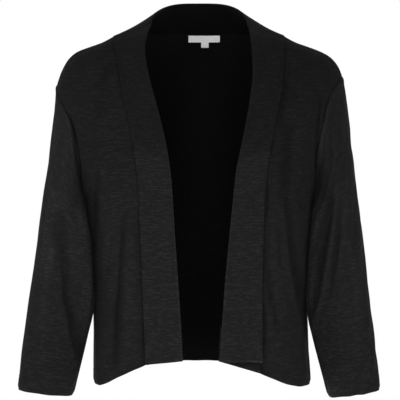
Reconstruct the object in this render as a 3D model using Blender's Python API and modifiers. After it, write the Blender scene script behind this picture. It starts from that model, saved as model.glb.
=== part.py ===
# An open cardigan in thin black jersey, filled out as on a wearer, with nobody inside.
# Sizes are in millimetres and turned into metres where a mesh is made. The front faces -Y.
# Right and left are the wearer's own: right lies at -X and left at +X.
# The origin is midway between the shoulders, at the height of the shoulder seams.

from bisect import bisect_right
from collections import namedtuple
from math import copysign, cos, exp, pi, sin

import bpy
from mathutils import Vector

MM = 0.001
JERSEY_WALL = 1.2
BAND_WALL = 2.4
LABEL_WALL = 1.0
SEAM_GAP = 0.2
BAND_GAP = 0.5
NECK_GAP = 0.7
SHOULDER_GAP = 0.85
MIDDLE_GAP = 0.35
ARMHOLE_GAP = 1.0
UNDERARM_GAP = 1.9
UNDERARM_SPREAD = 0.7
LAY_GAP = 0.5
TAG_GAP = 1.2

ARMHOLE_STEPS = 16
BODY_STEPS = 11
FRONT_COLUMNS = 10
NECK_COLUMNS = 6
BAND_COLUMNS = 4
SLEEVE_RINGS = 22

UNDERARM = 8.0
HEM = 14.0
CUFF = 12.0
SIDES = {"right": -1.0, "left": 1.0}

# Where each armhole lies, from the shoulder end at t 0 to the underarm at t 8
Armhole = namedtuple("Armhole", "t x z front_y back_y")
ARMHOLES = {
    "right": [
        Armhole(0, 210.5, -52, 0, 0),
        Armhole(1, 208.5, -64, -13, 13),
        Armhole(2, 200, -83, -29, 28),
        Armhole(3, 188, -104, -45, 43),
        Armhole(4, 178.5, -132, -56, 54),
        Armhole(5, 173.3, -160, -59, 58),
        Armhole(6, 170.3, -187, -49, 50),
        Armhole(7, 168.5, -206, -28, 30),
        Armhole(8, 167.5, -216, 0, 0),
    ],
    "left": [
        Armhole(0, 212.5, -40, 0, 0),
        Armhole(1, 205.5, -48, -13, 13),
        Armhole(2, 194, -65, -29, 28),
        Armhole(3, 185, -88, -44, 43),
        Armhole(4, 178.5, -118, -55, 54),
        Armhole(5, 171.5, -150, -59, 58),
        Armhole(6, 168.7, -180, -52, 52),
        Armhole(7, 168.3, -202, -30, 31),
        Armhole(8, 169, -215.5, 0, 0),
    ],
}

# The side seams, from the underarm at t 8 to the hem at t 14
SideSeam = namedtuple("SideSeam", "t x y z")
SIDE_SEAMS = {
    "right": [
        SideSeam(8, 167.5, 0, -216),
        SideSeam(8.5, 167.3, 13, -235),
        SideSeam(9, 165.4, 24, -256),
        SideSeam(10, 161.4, 29, -292),
        SideSeam(11, 158.2, 28, -335),
        SideSeam(12, 156.8, 25, -380),
        SideSeam(13, 155.9, 20, -432),
        SideSeam(14, 156.1, 16, -490.8),
    ],
    "left": [
        SideSeam(8, 169, 0, -215.5),
        SideSeam(8.5, 168.7, 13, -235),
        SideSeam(9, 168.0, 24, -256),
        SideSeam(10, 165.2, 29, -292),
        SideSeam(11, 162.6, 28, -338),
        SideSeam(12, 160.6, 25, -383),
        SideSeam(13, 161.8, 20, -435),
        SideSeam(14, 165.2, 16, -492),
    ],
}

# The seam between a front and its band, from the shoulder at t 0 to the hem at t 14
BandSeam = namedtuple("BandSeam", "t x y z")
BAND_SEAMS = {
    "right": [
        BandSeam(0, 126.5, 0, 20),
        BandSeam(1, 123.6, -26, 5.3),
        BandSeam(2, 119, -50, -18.5),
        BandSeam(3, 111.7, -74, -56.3),
        BandSeam(4, 102, -93, -100.4),
        BandSeam(5, 94.2, -103, -144),
        BandSeam(6, 87.8, -108, -186),
        BandSeam(7, 86, -109, -213),
        BandSeam(8, 85, -110, -238),
        BandSeam(9, 83.3, -111, -267),
        BandSeam(10, 82, -111, -297),
        BandSeam(11, 80.5, -111, -332),
        BandSeam(12, 79, -111, -370),
        BandSeam(13, 77.6, -110, -411),
        BandSeam(14, 76.2, -108, -457),
    ],
    "left": [
        BandSeam(0, 126.5, 0, 20),
        BandSeam(1, 124.6, -26, 5.3),
        BandSeam(2, 123.3, -50, -19),
        BandSeam(3, 119.5, -74, -56.3),
        BandSeam(4, 110.7, -93, -100.4),
        BandSeam(5, 102.8, -103, -144),
        BandSeam(6, 96.5, -108, -186),
        BandSeam(7, 94, -109, -212),
        BandSeam(8, 92.6, -110, -238),
        BandSeam(9, 91.4, -111, -267),
        BandSeam(10, 90.6, -112, -298),
        BandSeam(11, 90, -113, -334),
        BandSeam(12, 89.7, -113, -373),
        BandSeam(13, 89.6, -113, -416),
        BandSeam(14, 89.6, -113, -469.5),
    ],
}

# The free edge of each band, at the same t as its seam
BandEdge = namedtuple("BandEdge", "t x y z")
BAND_EDGES = {
    "right": [
        BandEdge(0, 71.6, -20, 35.5),
        BandEdge(1, 75.4, -50, 17.8),
        BandEdge(2, 77.8, -76, -4.2),
        BandEdge(3, 73, -98, -37.5),
        BandEdge(4, 60.5, -114, -84.2),
        BandEdge(5, 47.8, -124, -135),
        BandEdge(6, 39.8, -128, -183),
        BandEdge(7, 37.4, -129, -212),
        BandEdge(8, 35.8, -129, -238),
        BandEdge(9, 34, -129, -267),
        BandEdge(10, 32, -129, -297),
        BandEdge(11, 29.6, -129, -332),
        BandEdge(12, 27, -129, -370),
        BandEdge(13, 24.6, -128, -410),
        BandEdge(14, 22.6, -127, -450),
    ],
    "left": [
        BandEdge(0, 72.4, -20, 35.5),
        BandEdge(1, 74.2, -50, 17.8),
        BandEdge(2, 75.4, -76, -4.2),
        BandEdge(3, 75.8, -98, -37.5),
        BandEdge(4, 70.2, -114, -84.2),
        BandEdge(5, 60.6, -124, -135),
        BandEdge(6, 50.8, -128, -183),
        BandEdge(7, 47.6, -129, -212),
        BandEdge(8, 45, -129, -238),
        BandEdge(9, 42, -129, -267),
        BandEdge(10, 39, -129, -298),
        BandEdge(11, 35.6, -128, -334),
        BandEdge(12, 32.6, -127, -373),
        BandEdge(13, 29.9, -126, -412),
        BandEdge(14, 27.5, -124, -450),
    ],
}
BAND_END_LEFT = -452.5

# The shoulder seams, from the neck at u 0 to the armhole at u 1
ShoulderSeam = namedtuple("ShoulderSeam", "u x z")
SHOULDER_SEAMS = {
    "right": [
        ShoulderSeam(0, 126.5, 20),
        ShoulderSeam(0.2, 143.5, 11),
        ShoulderSeam(0.4, 163, 4),
        ShoulderSeam(0.6, 180.5, -3),
        ShoulderSeam(0.75, 192, -12.5),
        ShoulderSeam(0.88, 202.8, -30.5),
        ShoulderSeam(1, 210.5, -52),
    ],
    "left": [
        ShoulderSeam(0, 126.5, 20),
        ShoulderSeam(0.2, 142.5, 11.5),
        ShoulderSeam(0.4, 161, 4.8),
        ShoulderSeam(0.6, 180, -2.5),
        ShoulderSeam(0.75, 194, -10.5),
        ShoulderSeam(0.88, 206, -24.5),
        ShoulderSeam(1, 212.5, -40),
    ],
}
SHOULDER_REACH = 3.5

# How a front's rows turn from the band seam to the armhole or the side
FrontTurn = namedtuple("FrontTurn", "t turn power drop")
FRONT_TURNS = [
    FrontTurn(0, 1.0, 1.18, 1.0),
    FrontTurn(1, 0.95, 1.12, 1.0),
    FrontTurn(2, 0.84, 1.05, 0.8),
    FrontTurn(3, 0.75, 1.0, 0.5),
    FrontTurn(4, 0.7, 1.0, 0.2),
    FrontTurn(5, 0.7, 0.98, 0.0),
    FrontTurn(6, 0.76, 0.96, 0.0),
    FrontTurn(7, 0.88, 0.93, 0.0),
    FrontTurn(8, 1.0, 0.9, 0.0),
    FrontTurn(14, 1.0, 0.9, 0.0),
]

# The back from the neck seam to the hem: its middle, its shape and its share of the plain rounded row
BackRow = namedtuple("BackRow", "t y z neck_x power share")
BACK_ROWS = [
    BackRow(0, 80, 22, 126.5, 1.0, 0.0),
    BackRow(1, 86, -5, 122, 1.0, 0.48),
    BackRow(2, 94, -35, 117, 0.95, 0.8),
    BackRow(3, 99, -75, 111, 0.9, 0.96),
    BackRow(4, 103, -115, 106, 0.85, 1.0),
    BackRow(5, 105, -152, 100, 0.8, 1.0),
    BackRow(6, 105.5, -185, 96, 0.7, 1.0),
    BackRow(7, 105.5, -210, 94, 0.58, 1.0),
    BackRow(8, 105.5, -232, 92, 0.48, 1.0),
    BackRow(9, 105, -268, 90, 0.46, 1.0),
    BackRow(10, 104.5, -300, 88, 0.46, 1.0),
    BackRow(11, 104, -338, 86, 0.46, 1.0),
    BackRow(12, 103, -380, 85, 0.46, 1.0),
    BackRow(13, 102, -425, 84, 0.46, 1.0),
    BackRow(14, 101, -467, 84, 0.46, 1.0),
]
BACK_SQUARENESS = 2.5

# How much lower each front's hem hangs between its ends, and how far towards the side
HemSag = namedtuple("HemSag", "drop lean")
SAG_START = 6
HEM_SAGS = {"right": HemSag(4.2, 3.5), "left": HemSag(4.2, 1.3)}

# The neck seam round the back and the top edge of the band above it, as quarter turns
NECK_HALF_WIDTH = 126.5
NECK_DEPTH = 78
NECK_SIDE_Z = 20
NECK_RISE = 10
COLLAR_HALF_WIDTH = 72
COLLAR_FRONT_Y = -20
COLLAR_BACK_Y = 58
COLLAR_SIDE_Z = 35.5
COLLAR_RISE = 37.6
COLLAR_SPRING = 1.36
COLLAR_FLATNESS = 1.08

# A sleeve's rings: the outer and the inner point, half its depth front to back, and how far forward it hangs
SLEEVE_SQUARENESS = 0.85
SleeveRing = namedtuple("SleeveRing", "s outer_x outer_z inner_x inner_z half_depth forward bow")
SLEEVE_RINGS_OF = {
    "right": [
        SleeveRing(0, 210.5, -52, 167.5, -216, 58, 0, 1.0),
        SleeveRing(1, 213.2, -82, 169.4, -219, 61.5, 0.5, 0.72),
        SleeveRing(2, 216.3, -115, 169.1, -224, 64.5, 3, 0.45),
        SleeveRing(3, 219.2, -148, 168.4, -230.4, 66, 8, 0.24),
        SleeveRing(4, 222.7, -181, 167.5, -239.5, 65.5, 14.5, 0.1),
        SleeveRing(5, 227.5, -214, 166.0, -253, 63.5, 21, 0.0),
        SleeveRing(6, 232.6, -251, 162.4, -275, 61, 25, 0.0),
        SleeveRing(7, 237.4, -291, 158.6, -306, 58.5, 27, 0.0),
        SleeveRing(8, 242.5, -331, 156.6, -341, 55.5, 28, 0.0),
        SleeveRing(9, 248.3, -371, 155.4, -381, 52, 28, 0.0),
        SleeveRing(10, 254.3, -412, 163.4, -421, 47.5, 28, 0.0),
        SleeveRing(11, 259.8, -454, 173.6, -464, 42, 28, 0.0),
        SleeveRing(12, 264.8, -499, 184.4, -507.5, 36.5, 28, 0.0),
    ],
    "left": [
        SleeveRing(0, 212.5, -40, 169, -215.5, 58, 0, 1.0),
        SleeveRing(1, 218, -72, 171.4, -218.6, 61.5, 0.5, 0.72),
        SleeveRing(2, 221.8, -108, 171.5, -223.5, 64.5, 3, 0.45),
        SleeveRing(3, 224.6, -144, 170.3, -230.2, 66, 8, 0.24),
        SleeveRing(4, 227.9, -180, 169.6, -239.5, 65.5, 14.5, 0.1),
        SleeveRing(5, 231.6, -214, 168.5, -253, 63.5, 21, 0.0),
        SleeveRing(6, 236.1, -251, 165.7, -275, 61, 25, 0.0),
        SleeveRing(7, 240.4, -291, 163.1, -306, 58.5, 27, 0.0),
        SleeveRing(8, 244.9, -331, 161.3, -341, 55.5, 28, 0.0),
        SleeveRing(9, 249.5, -371, 159.4, -382, 52, 28, 0.0),
        SleeveRing(10, 254.6, -412, 166.8, -423, 47.5, 28, 0.0),
        SleeveRing(11, 259.8, -454, 177.8, -466, 42, 28, 0.0),
        SleeveRing(12, 264.8, -499, 189.4, -510, 36.5, 28, 0.0),
    ],
}

# Folds, as lines seen from the front or the back; a trough has a depth below 0 and a ridge one above 0
FOLD_AT_ENDS = 0.35
Fold = namedtuple("Fold", "depth width line")
FRONT_FOLDS = [
    Fold(-2.6, 6, [(-176, -108), (-171, -160), (-168, -214)]),
    Fold(2.0, 6, [(-184, -118), (-178, -165), (-174, -212)]),
    Fold(-3.2, 6, [(-192, -112), (-184, -165), (-176, -228)]),
    Fold(-4.5, 11, [(-207, -288), (-199, -333), (-194, -367), (-187, -407), (-179, -441)]),
    Fold(2.5, 12, [(-222, -330), (-213, -380), (-206, -425)]),
    Fold(-3.0, 10, [(-140, -215), (-143, -258), (-147, -300)]),
    Fold(-3.6, 13, [(-106, -240), (-109, -295), (-115, -368), (-120, -459)]),
    Fold(2.2, 14, [(-132, -330), (-136, -400), (-138, -480)]),
    Fold(-2.6, 7, [(96, -193), (97, -290), (96, -430)]),
    Fold(-6.0, 10, [(128, -250), (130, -295), (134, -332), (141, -369), (149, -412)]),
    Fold(3.0, 12, [(116, -270), (119, -340), (126, -420)]),
    Fold(-3.0, 9, [(104, -324), (106, -369), (109, -406), (112, -440)]),
    Fold(-2.8, 6, [(173, -75), (171, -99), (168, -135), (167, -181), (168, -214)]),
    Fold(-5.2, 9, [(190, -238), (185, -277), (180, -315), (175, -340), (170, -380)]),
    Fold(-3.2, 9, [(203, -235), (197, -296), (192, -333), (187, -360)]),
    Fold(2.4, 11, [(218, -300), (214, -360), (210, -410)]),
    Fold(-1.8, 8, [(124, -30), (113, -92), (105, -146)]),
]
BACK_FOLDS = [
    Fold(-3.4, 8, [(-177, -100), (-171, -150), (-168, -214)]),
    Fold(-3.0, 9, [(-150, -150), (-146, -205), (-140, -262)]),
    Fold(-4.2, 15, [(-92, -250), (-84, -340), (-80, -470)]),
    Fold(3.0, 16, [(-52, -240), (-46, -350), (-42, -468)]),
    Fold(-3.2, 14, [(-8, -280), (-4, -370), (-2, -468)]),
    Fold(2.6, 15, [(40, -260), (46, -350), (50, -470)]),
    Fold(-4.6, 14, [(88, -240), (96, -330), (104, -474)]),
    Fold(-3.4, 9, [(152, -155), (147, -210), (143, -270)]),
    Fold(-3.2, 8, [(176, -95), (170, -150), (168, -214)]),
    Fold(-4.4, 10, [(-222, -268), (-208, -300), (-190, -322), (-174, -330)]),
    Fold(-3.6, 9, [(-232, -310), (-214, -338), (-196, -352)]),
    Fold(-4.8, 10, [(224, -262), (209, -296), (192, -318), (178, -328)]),
    Fold(-3.4, 9, [(236, -318), (216, -344), (198, -358)]),
]

# The blank label and its small tab, seen from the front on the inside of the back
Tag = namedtuple("Tag", "left right top bottom")
LABEL = Tag(-16.5, 32, 27.5, 17.4)
SIZE_TAB = Tag(3, 15, 16.4, 9)
TAG_COLUMNS = 6
TAG_ROWS = 2
TAG_SEARCHES = 6
CLOSE_ENOUGH = 1e-6

# The inner layer of the left band, which hangs lower than the outer one
UNDER_TOP_T = 12.7
UNDER_SEAM_Z, UNDER_EDGE_Z = -469.5, -450.5
UNDER_ROWS = 4
UNDER_INSET = 0.8

JERSEY = {"color": (0.0125, 0.0125, 0.0138, 1), "roughness": 0.88}
BAND_JERSEY = {"color": (0.0145, 0.0145, 0.0158, 1), "roughness": 0.88}
LABEL_SATIN = {"color": (0.8, 0.8, 0.79, 1), "roughness": 0.5}


# Reading the tables
def between(rows, column, t):
    """The column's value at t, on a smooth curve that never swings past its rows."""
    keys = [row[0] for row in rows]
    values = [getattr(row, column) for row in rows]
    steps = [b - a for a, b in zip(keys, keys[1:])]
    rises = [(b - a) / step for a, b, step in zip(values, values[1:], steps)]
    slopes = [rises[0]]
    for one, two, before, after in zip(rises, rises[1:], steps, steps[1:]):
        if one * two <= 0:
            slopes.append(0.0)
        else:
            first, second = 2 * after + before, after + 2 * before
            slopes.append((first + second) / (first / one + second / two))
    slopes.append(rises[-1])
    i = min(max(bisect_right(keys, t) - 1, 0), len(steps) - 1)
    f = (t - keys[i]) / steps[i]
    start = (1 + 2 * f) * (1 - f) ** 2 * values[i] + f * (1 - f) ** 2 * steps[i] * slopes[i]
    end = f * f * (3 - 2 * f) * values[i + 1] + f * f * (f - 1) * steps[i] * slopes[i + 1]
    return start + end


def point_on(rows, t, names=("x", "y", "z")):
    return Vector([between(rows, name, t) for name in names])


def mirrored(point, side):
    return Vector((SIDES[side] * point.x, point.y, point.z))


# Folds
def away_from(line, x, z):
    """Distance from a place to a line, and how far along the line its nearest point is, 0 to 1."""
    best = None
    count = len(line) - 1
    for i, ((ax, az), (bx, bz)) in enumerate(zip(line, line[1:])):
        length = (bx - ax) ** 2 + (bz - az) ** 2
        f = min(max(((x - ax) * (bx - ax) + (z - az) * (bz - az)) / length, 0.0), 1.0)
        gap = ((x - ax - f * (bx - ax)) ** 2 + (z - az - f * (bz - az)) ** 2) ** 0.5
        if best is None or gap < best[0]:
            best = (gap, (i + f) / count)
    return best


def fold_height(folds, x, z):
    height = 0.0
    for fold in folds:
        gap, along = away_from(fold.line, x, z)
        fade = FOLD_AT_ENDS + (1 - FOLD_AT_ENDS) * sin(pi * min(max(along, 0.0), 1.0))
        height += fold.depth * fade * exp(-((gap / fold.width) ** 2))
    return height


def folded(point, weight, facing):
    folds = FRONT_FOLDS if facing < 0 else BACK_FOLDS
    shift = facing * weight * fold_height(folds, point.x, point.z)
    return point + Vector((0, shift, 0))


# Lines that two pieces share
def armhole_point(side, t, facing):
    rows = ARMHOLES[side]
    column = "front_y" if facing < 0 else "back_y"
    return point_on(rows, t, ("x", column, "z"))


def side_point(side, t, facing):
    if t <= UNDERARM:
        return armhole_point(side, t, facing)
    return point_on(SIDE_SEAMS[side], t)


def flatness(t):
    """How much of a fold is left at the armhole or side seam."""
    return sin(pi * min(t, UNDERARM) / UNDERARM)


def neck_point(turn):
    """The neck seam, from the middle of the back at turn 0 to the shoulder at turn 1."""
    angle = turn * pi / 2
    return Vector(
        (NECK_HALF_WIDTH * sin(angle), NECK_DEPTH * cos(angle), NECK_SIDE_Z + NECK_RISE * cos(angle))
    )


def collar_point(turn):
    """The free edge above the neck seam, at the same turn."""
    angle = turn * pi / 2
    reach = COLLAR_BACK_Y - COLLAR_FRONT_Y
    rise = COLLAR_RISE * (1 - (1 - cos(angle)) ** COLLAR_SPRING)
    x = COLLAR_HALF_WIDTH * sin(angle) ** COLLAR_FLATNESS
    return Vector((x, COLLAR_FRONT_Y + reach * cos(angle), COLLAR_SIDE_Z + rise))


# Points of each piece's middle surface, on the wearer's side named
def front_row(side, t, u):
    seam = point_on(BAND_SEAMS[side], t)
    edge = side_point(side, t, -1)
    turn = between(FRONT_TURNS, "turn", t) * pi / 2
    power = between(FRONT_TURNS, "power", t)
    drop = between(FRONT_TURNS, "drop", t)
    across = (sin(turn * u) / sin(turn)) ** power
    left = (max(cos(turn * u) - cos(turn), 0.0) / (1 - cos(turn))) ** power
    fall = (1 - drop) * across + drop * (1 - left)
    sag = HEM_SAGS[side]
    lower = sag.drop * sin(pi * across**sag.lean) * (t / HEM) ** SAG_START
    return Vector(
        (
            seam.x + (edge.x - seam.x) * across,
            edge.y + (seam.y - edge.y) * left,
            seam.z + (edge.z - seam.z) * fall - lower,
        )
    )


def front_point(side, t, u):
    point = front_row(side, t, u)
    near = max(0.0, 1 - t / SHOULDER_REACH) ** 2
    if near > 0:
        point += near * (shoulder_point(side, u) - front_row(side, 0, u))
    weight = (1 - u**3 * (1 - flatness(t))) * min(1.0, t / 2)
    return folded(mirrored(point, side), weight, -1)


def shoulder_point(side, u):
    rows = SHOULDER_SEAMS[side]
    return Vector((between(rows, "x", u), 0, between(rows, "z", u)))


def back_point(side, t, u):
    """u runs from 0 at the middle of the back to 1 at the neck point and 2 at the armhole or side."""
    edge = side_point(side, t, 1)
    neck_x = between(BACK_ROWS, "neck_x", t)
    power = between(BACK_ROWS, "power", t)
    share = between(BACK_ROWS, "share", t)
    middle = point_on(BACK_ROWS, t, ("t", "y", "z"))
    if u <= 1:
        corner = neck_point(u)
        x = neck_x * u
    else:
        corner = shoulder_point(side, u - 1)
        x = neck_x + (edge.x - neck_x) * sin((u - 1) * pi / 2)
    out = min(x / edge.x, 1.0)
    plain = Vector(
        (
            x,
            edge.y + (middle.y - edge.y) * (1 - out**BACK_SQUARENESS) ** power,
            middle.z + (edge.z - middle.z) * out**2,
        )
    )
    point = corner.lerp(plain, share)
    if u > 1:
        rim = shoulder_point(side, 1).lerp(edge, share)
        point += (u - 1) ** 3 * (edge - rim)
    weight = (1 - max(u - 1, 0) ** 3 * (1 - flatness(t))) * min(1.0, t / 2)
    return folded(mirrored(point, side), weight, 1)


def squared_sine(angle):
    """The sine with its rise made steeper, which flattens a sleeve's front and back."""
    return copysign(abs(sin(angle)) ** SLEEVE_SQUARENESS, sin(angle))


def sleeve_point(side, s, around):
    """around runs from 0 at the shoulder, past the front at 0.25 and the underarm at 0.5, to 1."""
    rows = SLEEVE_RINGS_OF[side]
    outer = Vector((between(rows, "outer_x", s), 0, between(rows, "outer_z", s)))
    inner = Vector((between(rows, "inner_x", s), 0, between(rows, "inner_z", s)))
    angle = 2 * pi * around
    middle, reach = (outer + inner) / 2, (outer - inner) / 2
    depth = Vector((0, -between(rows, "half_depth", s) * squared_sine(angle), 0))
    forward = Vector((0, -between(rows, "forward", s), 0))
    point = middle + reach * cos(angle) + depth + forward
    bow = between(rows, "bow", s)
    if bow > 0:
        point += bow * (armhole_round(side, around) - plain_ring(side, around))
    facing = -1 if around < 0.5 else 1
    return folded(mirrored(point, side), abs(sin(angle)), facing)


def armhole_round(side, around):
    facing = -1 if around < 0.5 else 1
    t = UNDERARM * (around * 2 if around <= 0.5 else 2 - around * 2)
    return armhole_point(side, t, facing)


def plain_ring(side, around):
    row = SLEEVE_RINGS_OF[side][0]
    outer, inner = Vector((row.outer_x, 0, row.outer_z)), Vector((row.inner_x, 0, row.inner_z))
    angle = 2 * pi * around
    depth = Vector((0, -row.half_depth * squared_sine(angle), 0))
    return (outer + inner) / 2 + (outer - inner) / 2 * cos(angle) + depth


def band_point(side, t, across):
    """t below 0 runs back from the shoulder to the middle of the neck at -1; across 1 is the free edge."""
    if t < 0:
        seam, edge = neck_point(1 + t), collar_point(1 + t)
    else:
        seam, edge = point_on(BAND_SEAMS[side], t), point_on(BAND_EDGES[side], t)
    point = mirrored(seam.lerp(edge, across), side)
    return folded(point, min(1.0, max(t, 0) / 2), -1)


# Rows that stop short of a seam, so that neighbours stay apart
def pulled_in(row, first, last):
    """The row with its ends moved along it, by the lengths given."""
    row = [point.copy() for point in row]
    for end, beside, gap in ((0, 1, first), (-1, -2, last)):
        if gap:
            row[end] += (row[beside] - row[end]).normalized() * gap
    return row


def trimmed(grid, tops, firsts, last=0.0):
    """The grid with a gap for each column's top, for each row's first end and for all rows' last end."""
    grid = [pulled_in(row, first, last) for row, first in zip(grid, firsts)]
    columns = [pulled_in(column, top, 0) for column, top in zip(zip(*grid), tops)]
    return [list(row) for row in zip(*columns)]


def body_steps():
    upper = [UNDERARM * i / ARMHOLE_STEPS for i in range(ARMHOLE_STEPS)]
    lower = [UNDERARM + (HEM - UNDERARM) * i / BODY_STEPS for i in range(BODY_STEPS + 1)]
    return upper + lower


# Meshes
def shell(name, grid, wall, finish, outwards, closed=False):
    """A grid of points as one open surface, given its thickness evenly to both sides."""
    rows, columns = len(grid), len(grid[0])
    points = [point * MM for row in grid for point in row]
    faces = []
    for r in range(rows - 1):
        for c in range(columns if closed else columns - 1):
            d = (c + 1) % columns
            faces.append((r * columns + c, r * columns + d, (r + 1) * columns + d, (r + 1) * columns + c))
    if not outwards:
        faces = [face[::-1] for face in faces]
    mesh = bpy.data.meshes.new(name)
    mesh.from_pydata(points, [], faces)
    mesh.shade_smooth()
    mesh.materials.append(finish)
    piece = bpy.data.objects.new(name, mesh)
    garment.objects.link(piece)
    thickness = piece.modifiers.new("thickness", "SOLIDIFY")
    thickness.thickness = wall * MM
    thickness.offset = 0
    thickness.use_even_offset = True
    thickness.use_quality_normals = True
    return piece


def material(name, look):
    made = bpy.data.materials.new(name)
    made.use_nodes = True
    shader = made.node_tree.nodes["Principled BSDF"]
    shader.inputs["Base Color"].default_value = look["color"]
    shader.inputs["Roughness"].default_value = look["roughness"]
    shader.inputs["Metallic"].default_value = 0
    return made


# Pieces
def make_front(side):
    columns = [i / FRONT_COLUMNS for i in range(FRONT_COLUMNS + 1)]
    grid = [[front_point(side, t, u) for u in columns] for t in body_steps()]
    grid = trimmed(grid, [SHOULDER_GAP] * len(columns), [SEAM_GAP] * len(grid), SEAM_GAP)
    shell("front_" + side, grid, JERSEY_WALL, material("jersey_front_" + side, JERSEY), side == "right")


def make_back():
    half = [i / NECK_COLUMNS for i in range(NECK_COLUMNS)]
    half += [1 + i / FRONT_COLUMNS for i in range(FRONT_COLUMNS + 1)]
    grid = []
    for t in body_steps():
        right = [back_point("right", t, u) for u in reversed(half)]
        left = [back_point("left", t, u) for u in half[1:]]
        grid.append(right + left)
    shoulder = [SHOULDER_GAP] * FRONT_COLUMNS
    tops = shoulder + [NECK_GAP] * (2 * NECK_COLUMNS + 1) + shoulder
    grid = trimmed(grid, tops, [SEAM_GAP] * len(grid), SEAM_GAP)
    shell("back", grid, JERSEY_WALL, material("jersey_back", JERSEY), False)


def make_sleeve(side):
    count = 2 * ARMHOLE_STEPS
    grid = []
    for r in range(SLEEVE_RINGS + 1):
        s = CUFF * r / SLEEVE_RINGS
        grid.append([sleeve_point(side, s, c / count) for c in range(count)])
    columns = []
    for c, column in enumerate(zip(*grid)):
        low = max(0.0, -cos(2 * pi * c / count)) ** UNDERARM_SPREAD
        gap = ARMHOLE_GAP + (UNDERARM_GAP - ARMHOLE_GAP) * low
        columns.append(pulled_in(column, gap, 0))
    grid = [list(row) for row in zip(*columns)]
    shell("sleeve_" + side, grid, JERSEY_WALL, material("jersey_sleeve_" + side, JERSEY), side == "left", True)


def make_band(side):
    steps = [-1 + i / NECK_COLUMNS for i in range(NECK_COLUMNS)] + body_steps()
    across = [i / BAND_COLUMNS for i in range(BAND_COLUMNS + 1)]
    grid = [[band_point(side, t, a) for a in across] for t in steps]
    if side == "left":
        for point in grid[-1]:
            point.z = max(point.z, BAND_END_LEFT)
    seam_gaps = [NECK_GAP if t <= 0 else BAND_GAP for t in steps]
    grid = trimmed(grid, [MIDDLE_GAP] * len(across), seam_gaps)
    shell("band_" + side, grid, BAND_WALL, material("jersey_band_" + side, BAND_JERSEY), side == "left")


def back_inside(x, z, inwards):
    """The place on the back's middle surface at this x and z, moved towards the front."""
    side = "left" if x >= 0 else "right"
    t, u = 1.0, 0.2
    for _ in range(TAG_SEARCHES):
        t = crossing(lambda value: z - back_point(side, value, u).z, 0.0, UNDERARM)
        u = crossing(lambda value: abs(back_point(side, t, value).x) - abs(x), 0.0, 1.0)
    return back_point(side, t, u) + Vector((0, -inwards, 0))


def crossing(rising, low, high):
    """Where a rising function passes zero."""
    while high - low > CLOSE_ENOUGH:
        middle = (low + high) / 2
        low, high = (low, middle) if rising(middle) > 0 else (middle, high)
    return low


def make_tag(name, box, inwards):
    """A small flat piece on the inside of the back, from its left, right, top and bottom."""
    left, right, top, bottom = box
    grid = []
    for r in range(TAG_ROWS + 1):
        z = top + (bottom - top) * r / TAG_ROWS
        columns = [left + (right - left) * c / TAG_COLUMNS for c in range(TAG_COLUMNS + 1)]
        grid.append([back_inside(x, z, inwards) for x in columns])
    shell(name, grid, LABEL_WALL, material("satin_" + name, LABEL_SATIN), True)


def make_under_layer():
    """The left band's inner layer, from just above the band's end down to the slanting hem."""
    inwards = (BAND_WALL + JERSEY_WALL) / 2 + LAY_GAP
    grid = []
    for r in range(UNDER_ROWS + 1):
        row = []
        for c in range(BAND_COLUMNS + 1):
            a = c / BAND_COLUMNS
            point = band_point("left", UNDER_TOP_T + (HEM - UNDER_TOP_T) * r / UNDER_ROWS, a)
            top = band_point("left", UNDER_TOP_T, a).z
            bottom = UNDER_SEAM_Z + (UNDER_EDGE_Z - UNDER_SEAM_Z) * a
            point.z = top + (bottom - top) * r / UNDER_ROWS
            row.append(point + Vector((0, inwards, 0)))
        grid.append(pulled_in(row, UNDER_INSET, UNDER_INSET))
    shell("band_left_inner", grid, JERSEY_WALL, material("jersey_band_left_inner", JERSEY), True)


garment = bpy.data.collections.new("cardigan")


def main():
    for old in list(bpy.data.objects):
        bpy.data.objects.remove(old, do_unlink=True)
    bpy.context.scene.collection.children.link(garment)
    for side in SIDES:
        make_front(side)
        make_sleeve(side)
        make_band(side)
    make_back()
    make_under_layer()
    inwards = (JERSEY_WALL + LABEL_WALL) / 2 + TAG_GAP
    make_tag("label", LABEL, inwards)
    make_tag("size_tab", SIZE_TAB, inwards)


main()
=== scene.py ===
import math

import bmesh
import bpy
import numpy as np
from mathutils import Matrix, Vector
from mathutils.bvhtree import BVHTree


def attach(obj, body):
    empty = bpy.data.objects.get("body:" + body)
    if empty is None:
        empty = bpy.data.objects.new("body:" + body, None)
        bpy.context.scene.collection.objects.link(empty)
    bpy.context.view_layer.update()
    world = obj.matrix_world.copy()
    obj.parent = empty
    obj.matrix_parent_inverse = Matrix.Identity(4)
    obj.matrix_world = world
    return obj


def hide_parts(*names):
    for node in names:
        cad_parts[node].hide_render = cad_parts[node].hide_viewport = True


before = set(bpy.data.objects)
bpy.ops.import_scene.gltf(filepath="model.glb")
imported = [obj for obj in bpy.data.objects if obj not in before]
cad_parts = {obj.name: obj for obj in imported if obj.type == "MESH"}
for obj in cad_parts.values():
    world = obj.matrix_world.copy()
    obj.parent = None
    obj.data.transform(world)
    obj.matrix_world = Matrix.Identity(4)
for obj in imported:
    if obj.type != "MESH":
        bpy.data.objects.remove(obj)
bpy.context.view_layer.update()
print("frame loaded with", len(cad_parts), "solids")


# Camera
camera = {
    "eyeDistance": 2.8,      # metres in front of the shoulders
    "height": -0.222,        # metres from the shoulders down to the middle of the picture
    "sideways": 0.00148,     # metres towards the wearer's left
    "fieldWidth": 0.592,     # metres seen at the shoulders, from side to side
    "sensor": 36.0,          # millimetres
}


def makeCamera(values):
    lens = bpy.data.cameras.new("photoCamera")
    lens.sensor_width = values["sensor"]
    lens.lens = values["sensor"] * values["eyeDistance"] / values["fieldWidth"]
    holder = bpy.data.objects.new("photoCamera", lens)
    holder.location = (values["sideways"], -values["eyeDistance"], values["height"])
    holder.rotation_euler = (math.pi / 2, 0, 0)
    bpy.context.scene.collection.objects.link(holder)
    bpy.context.scene.camera = holder


makeCamera(camera)


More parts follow.
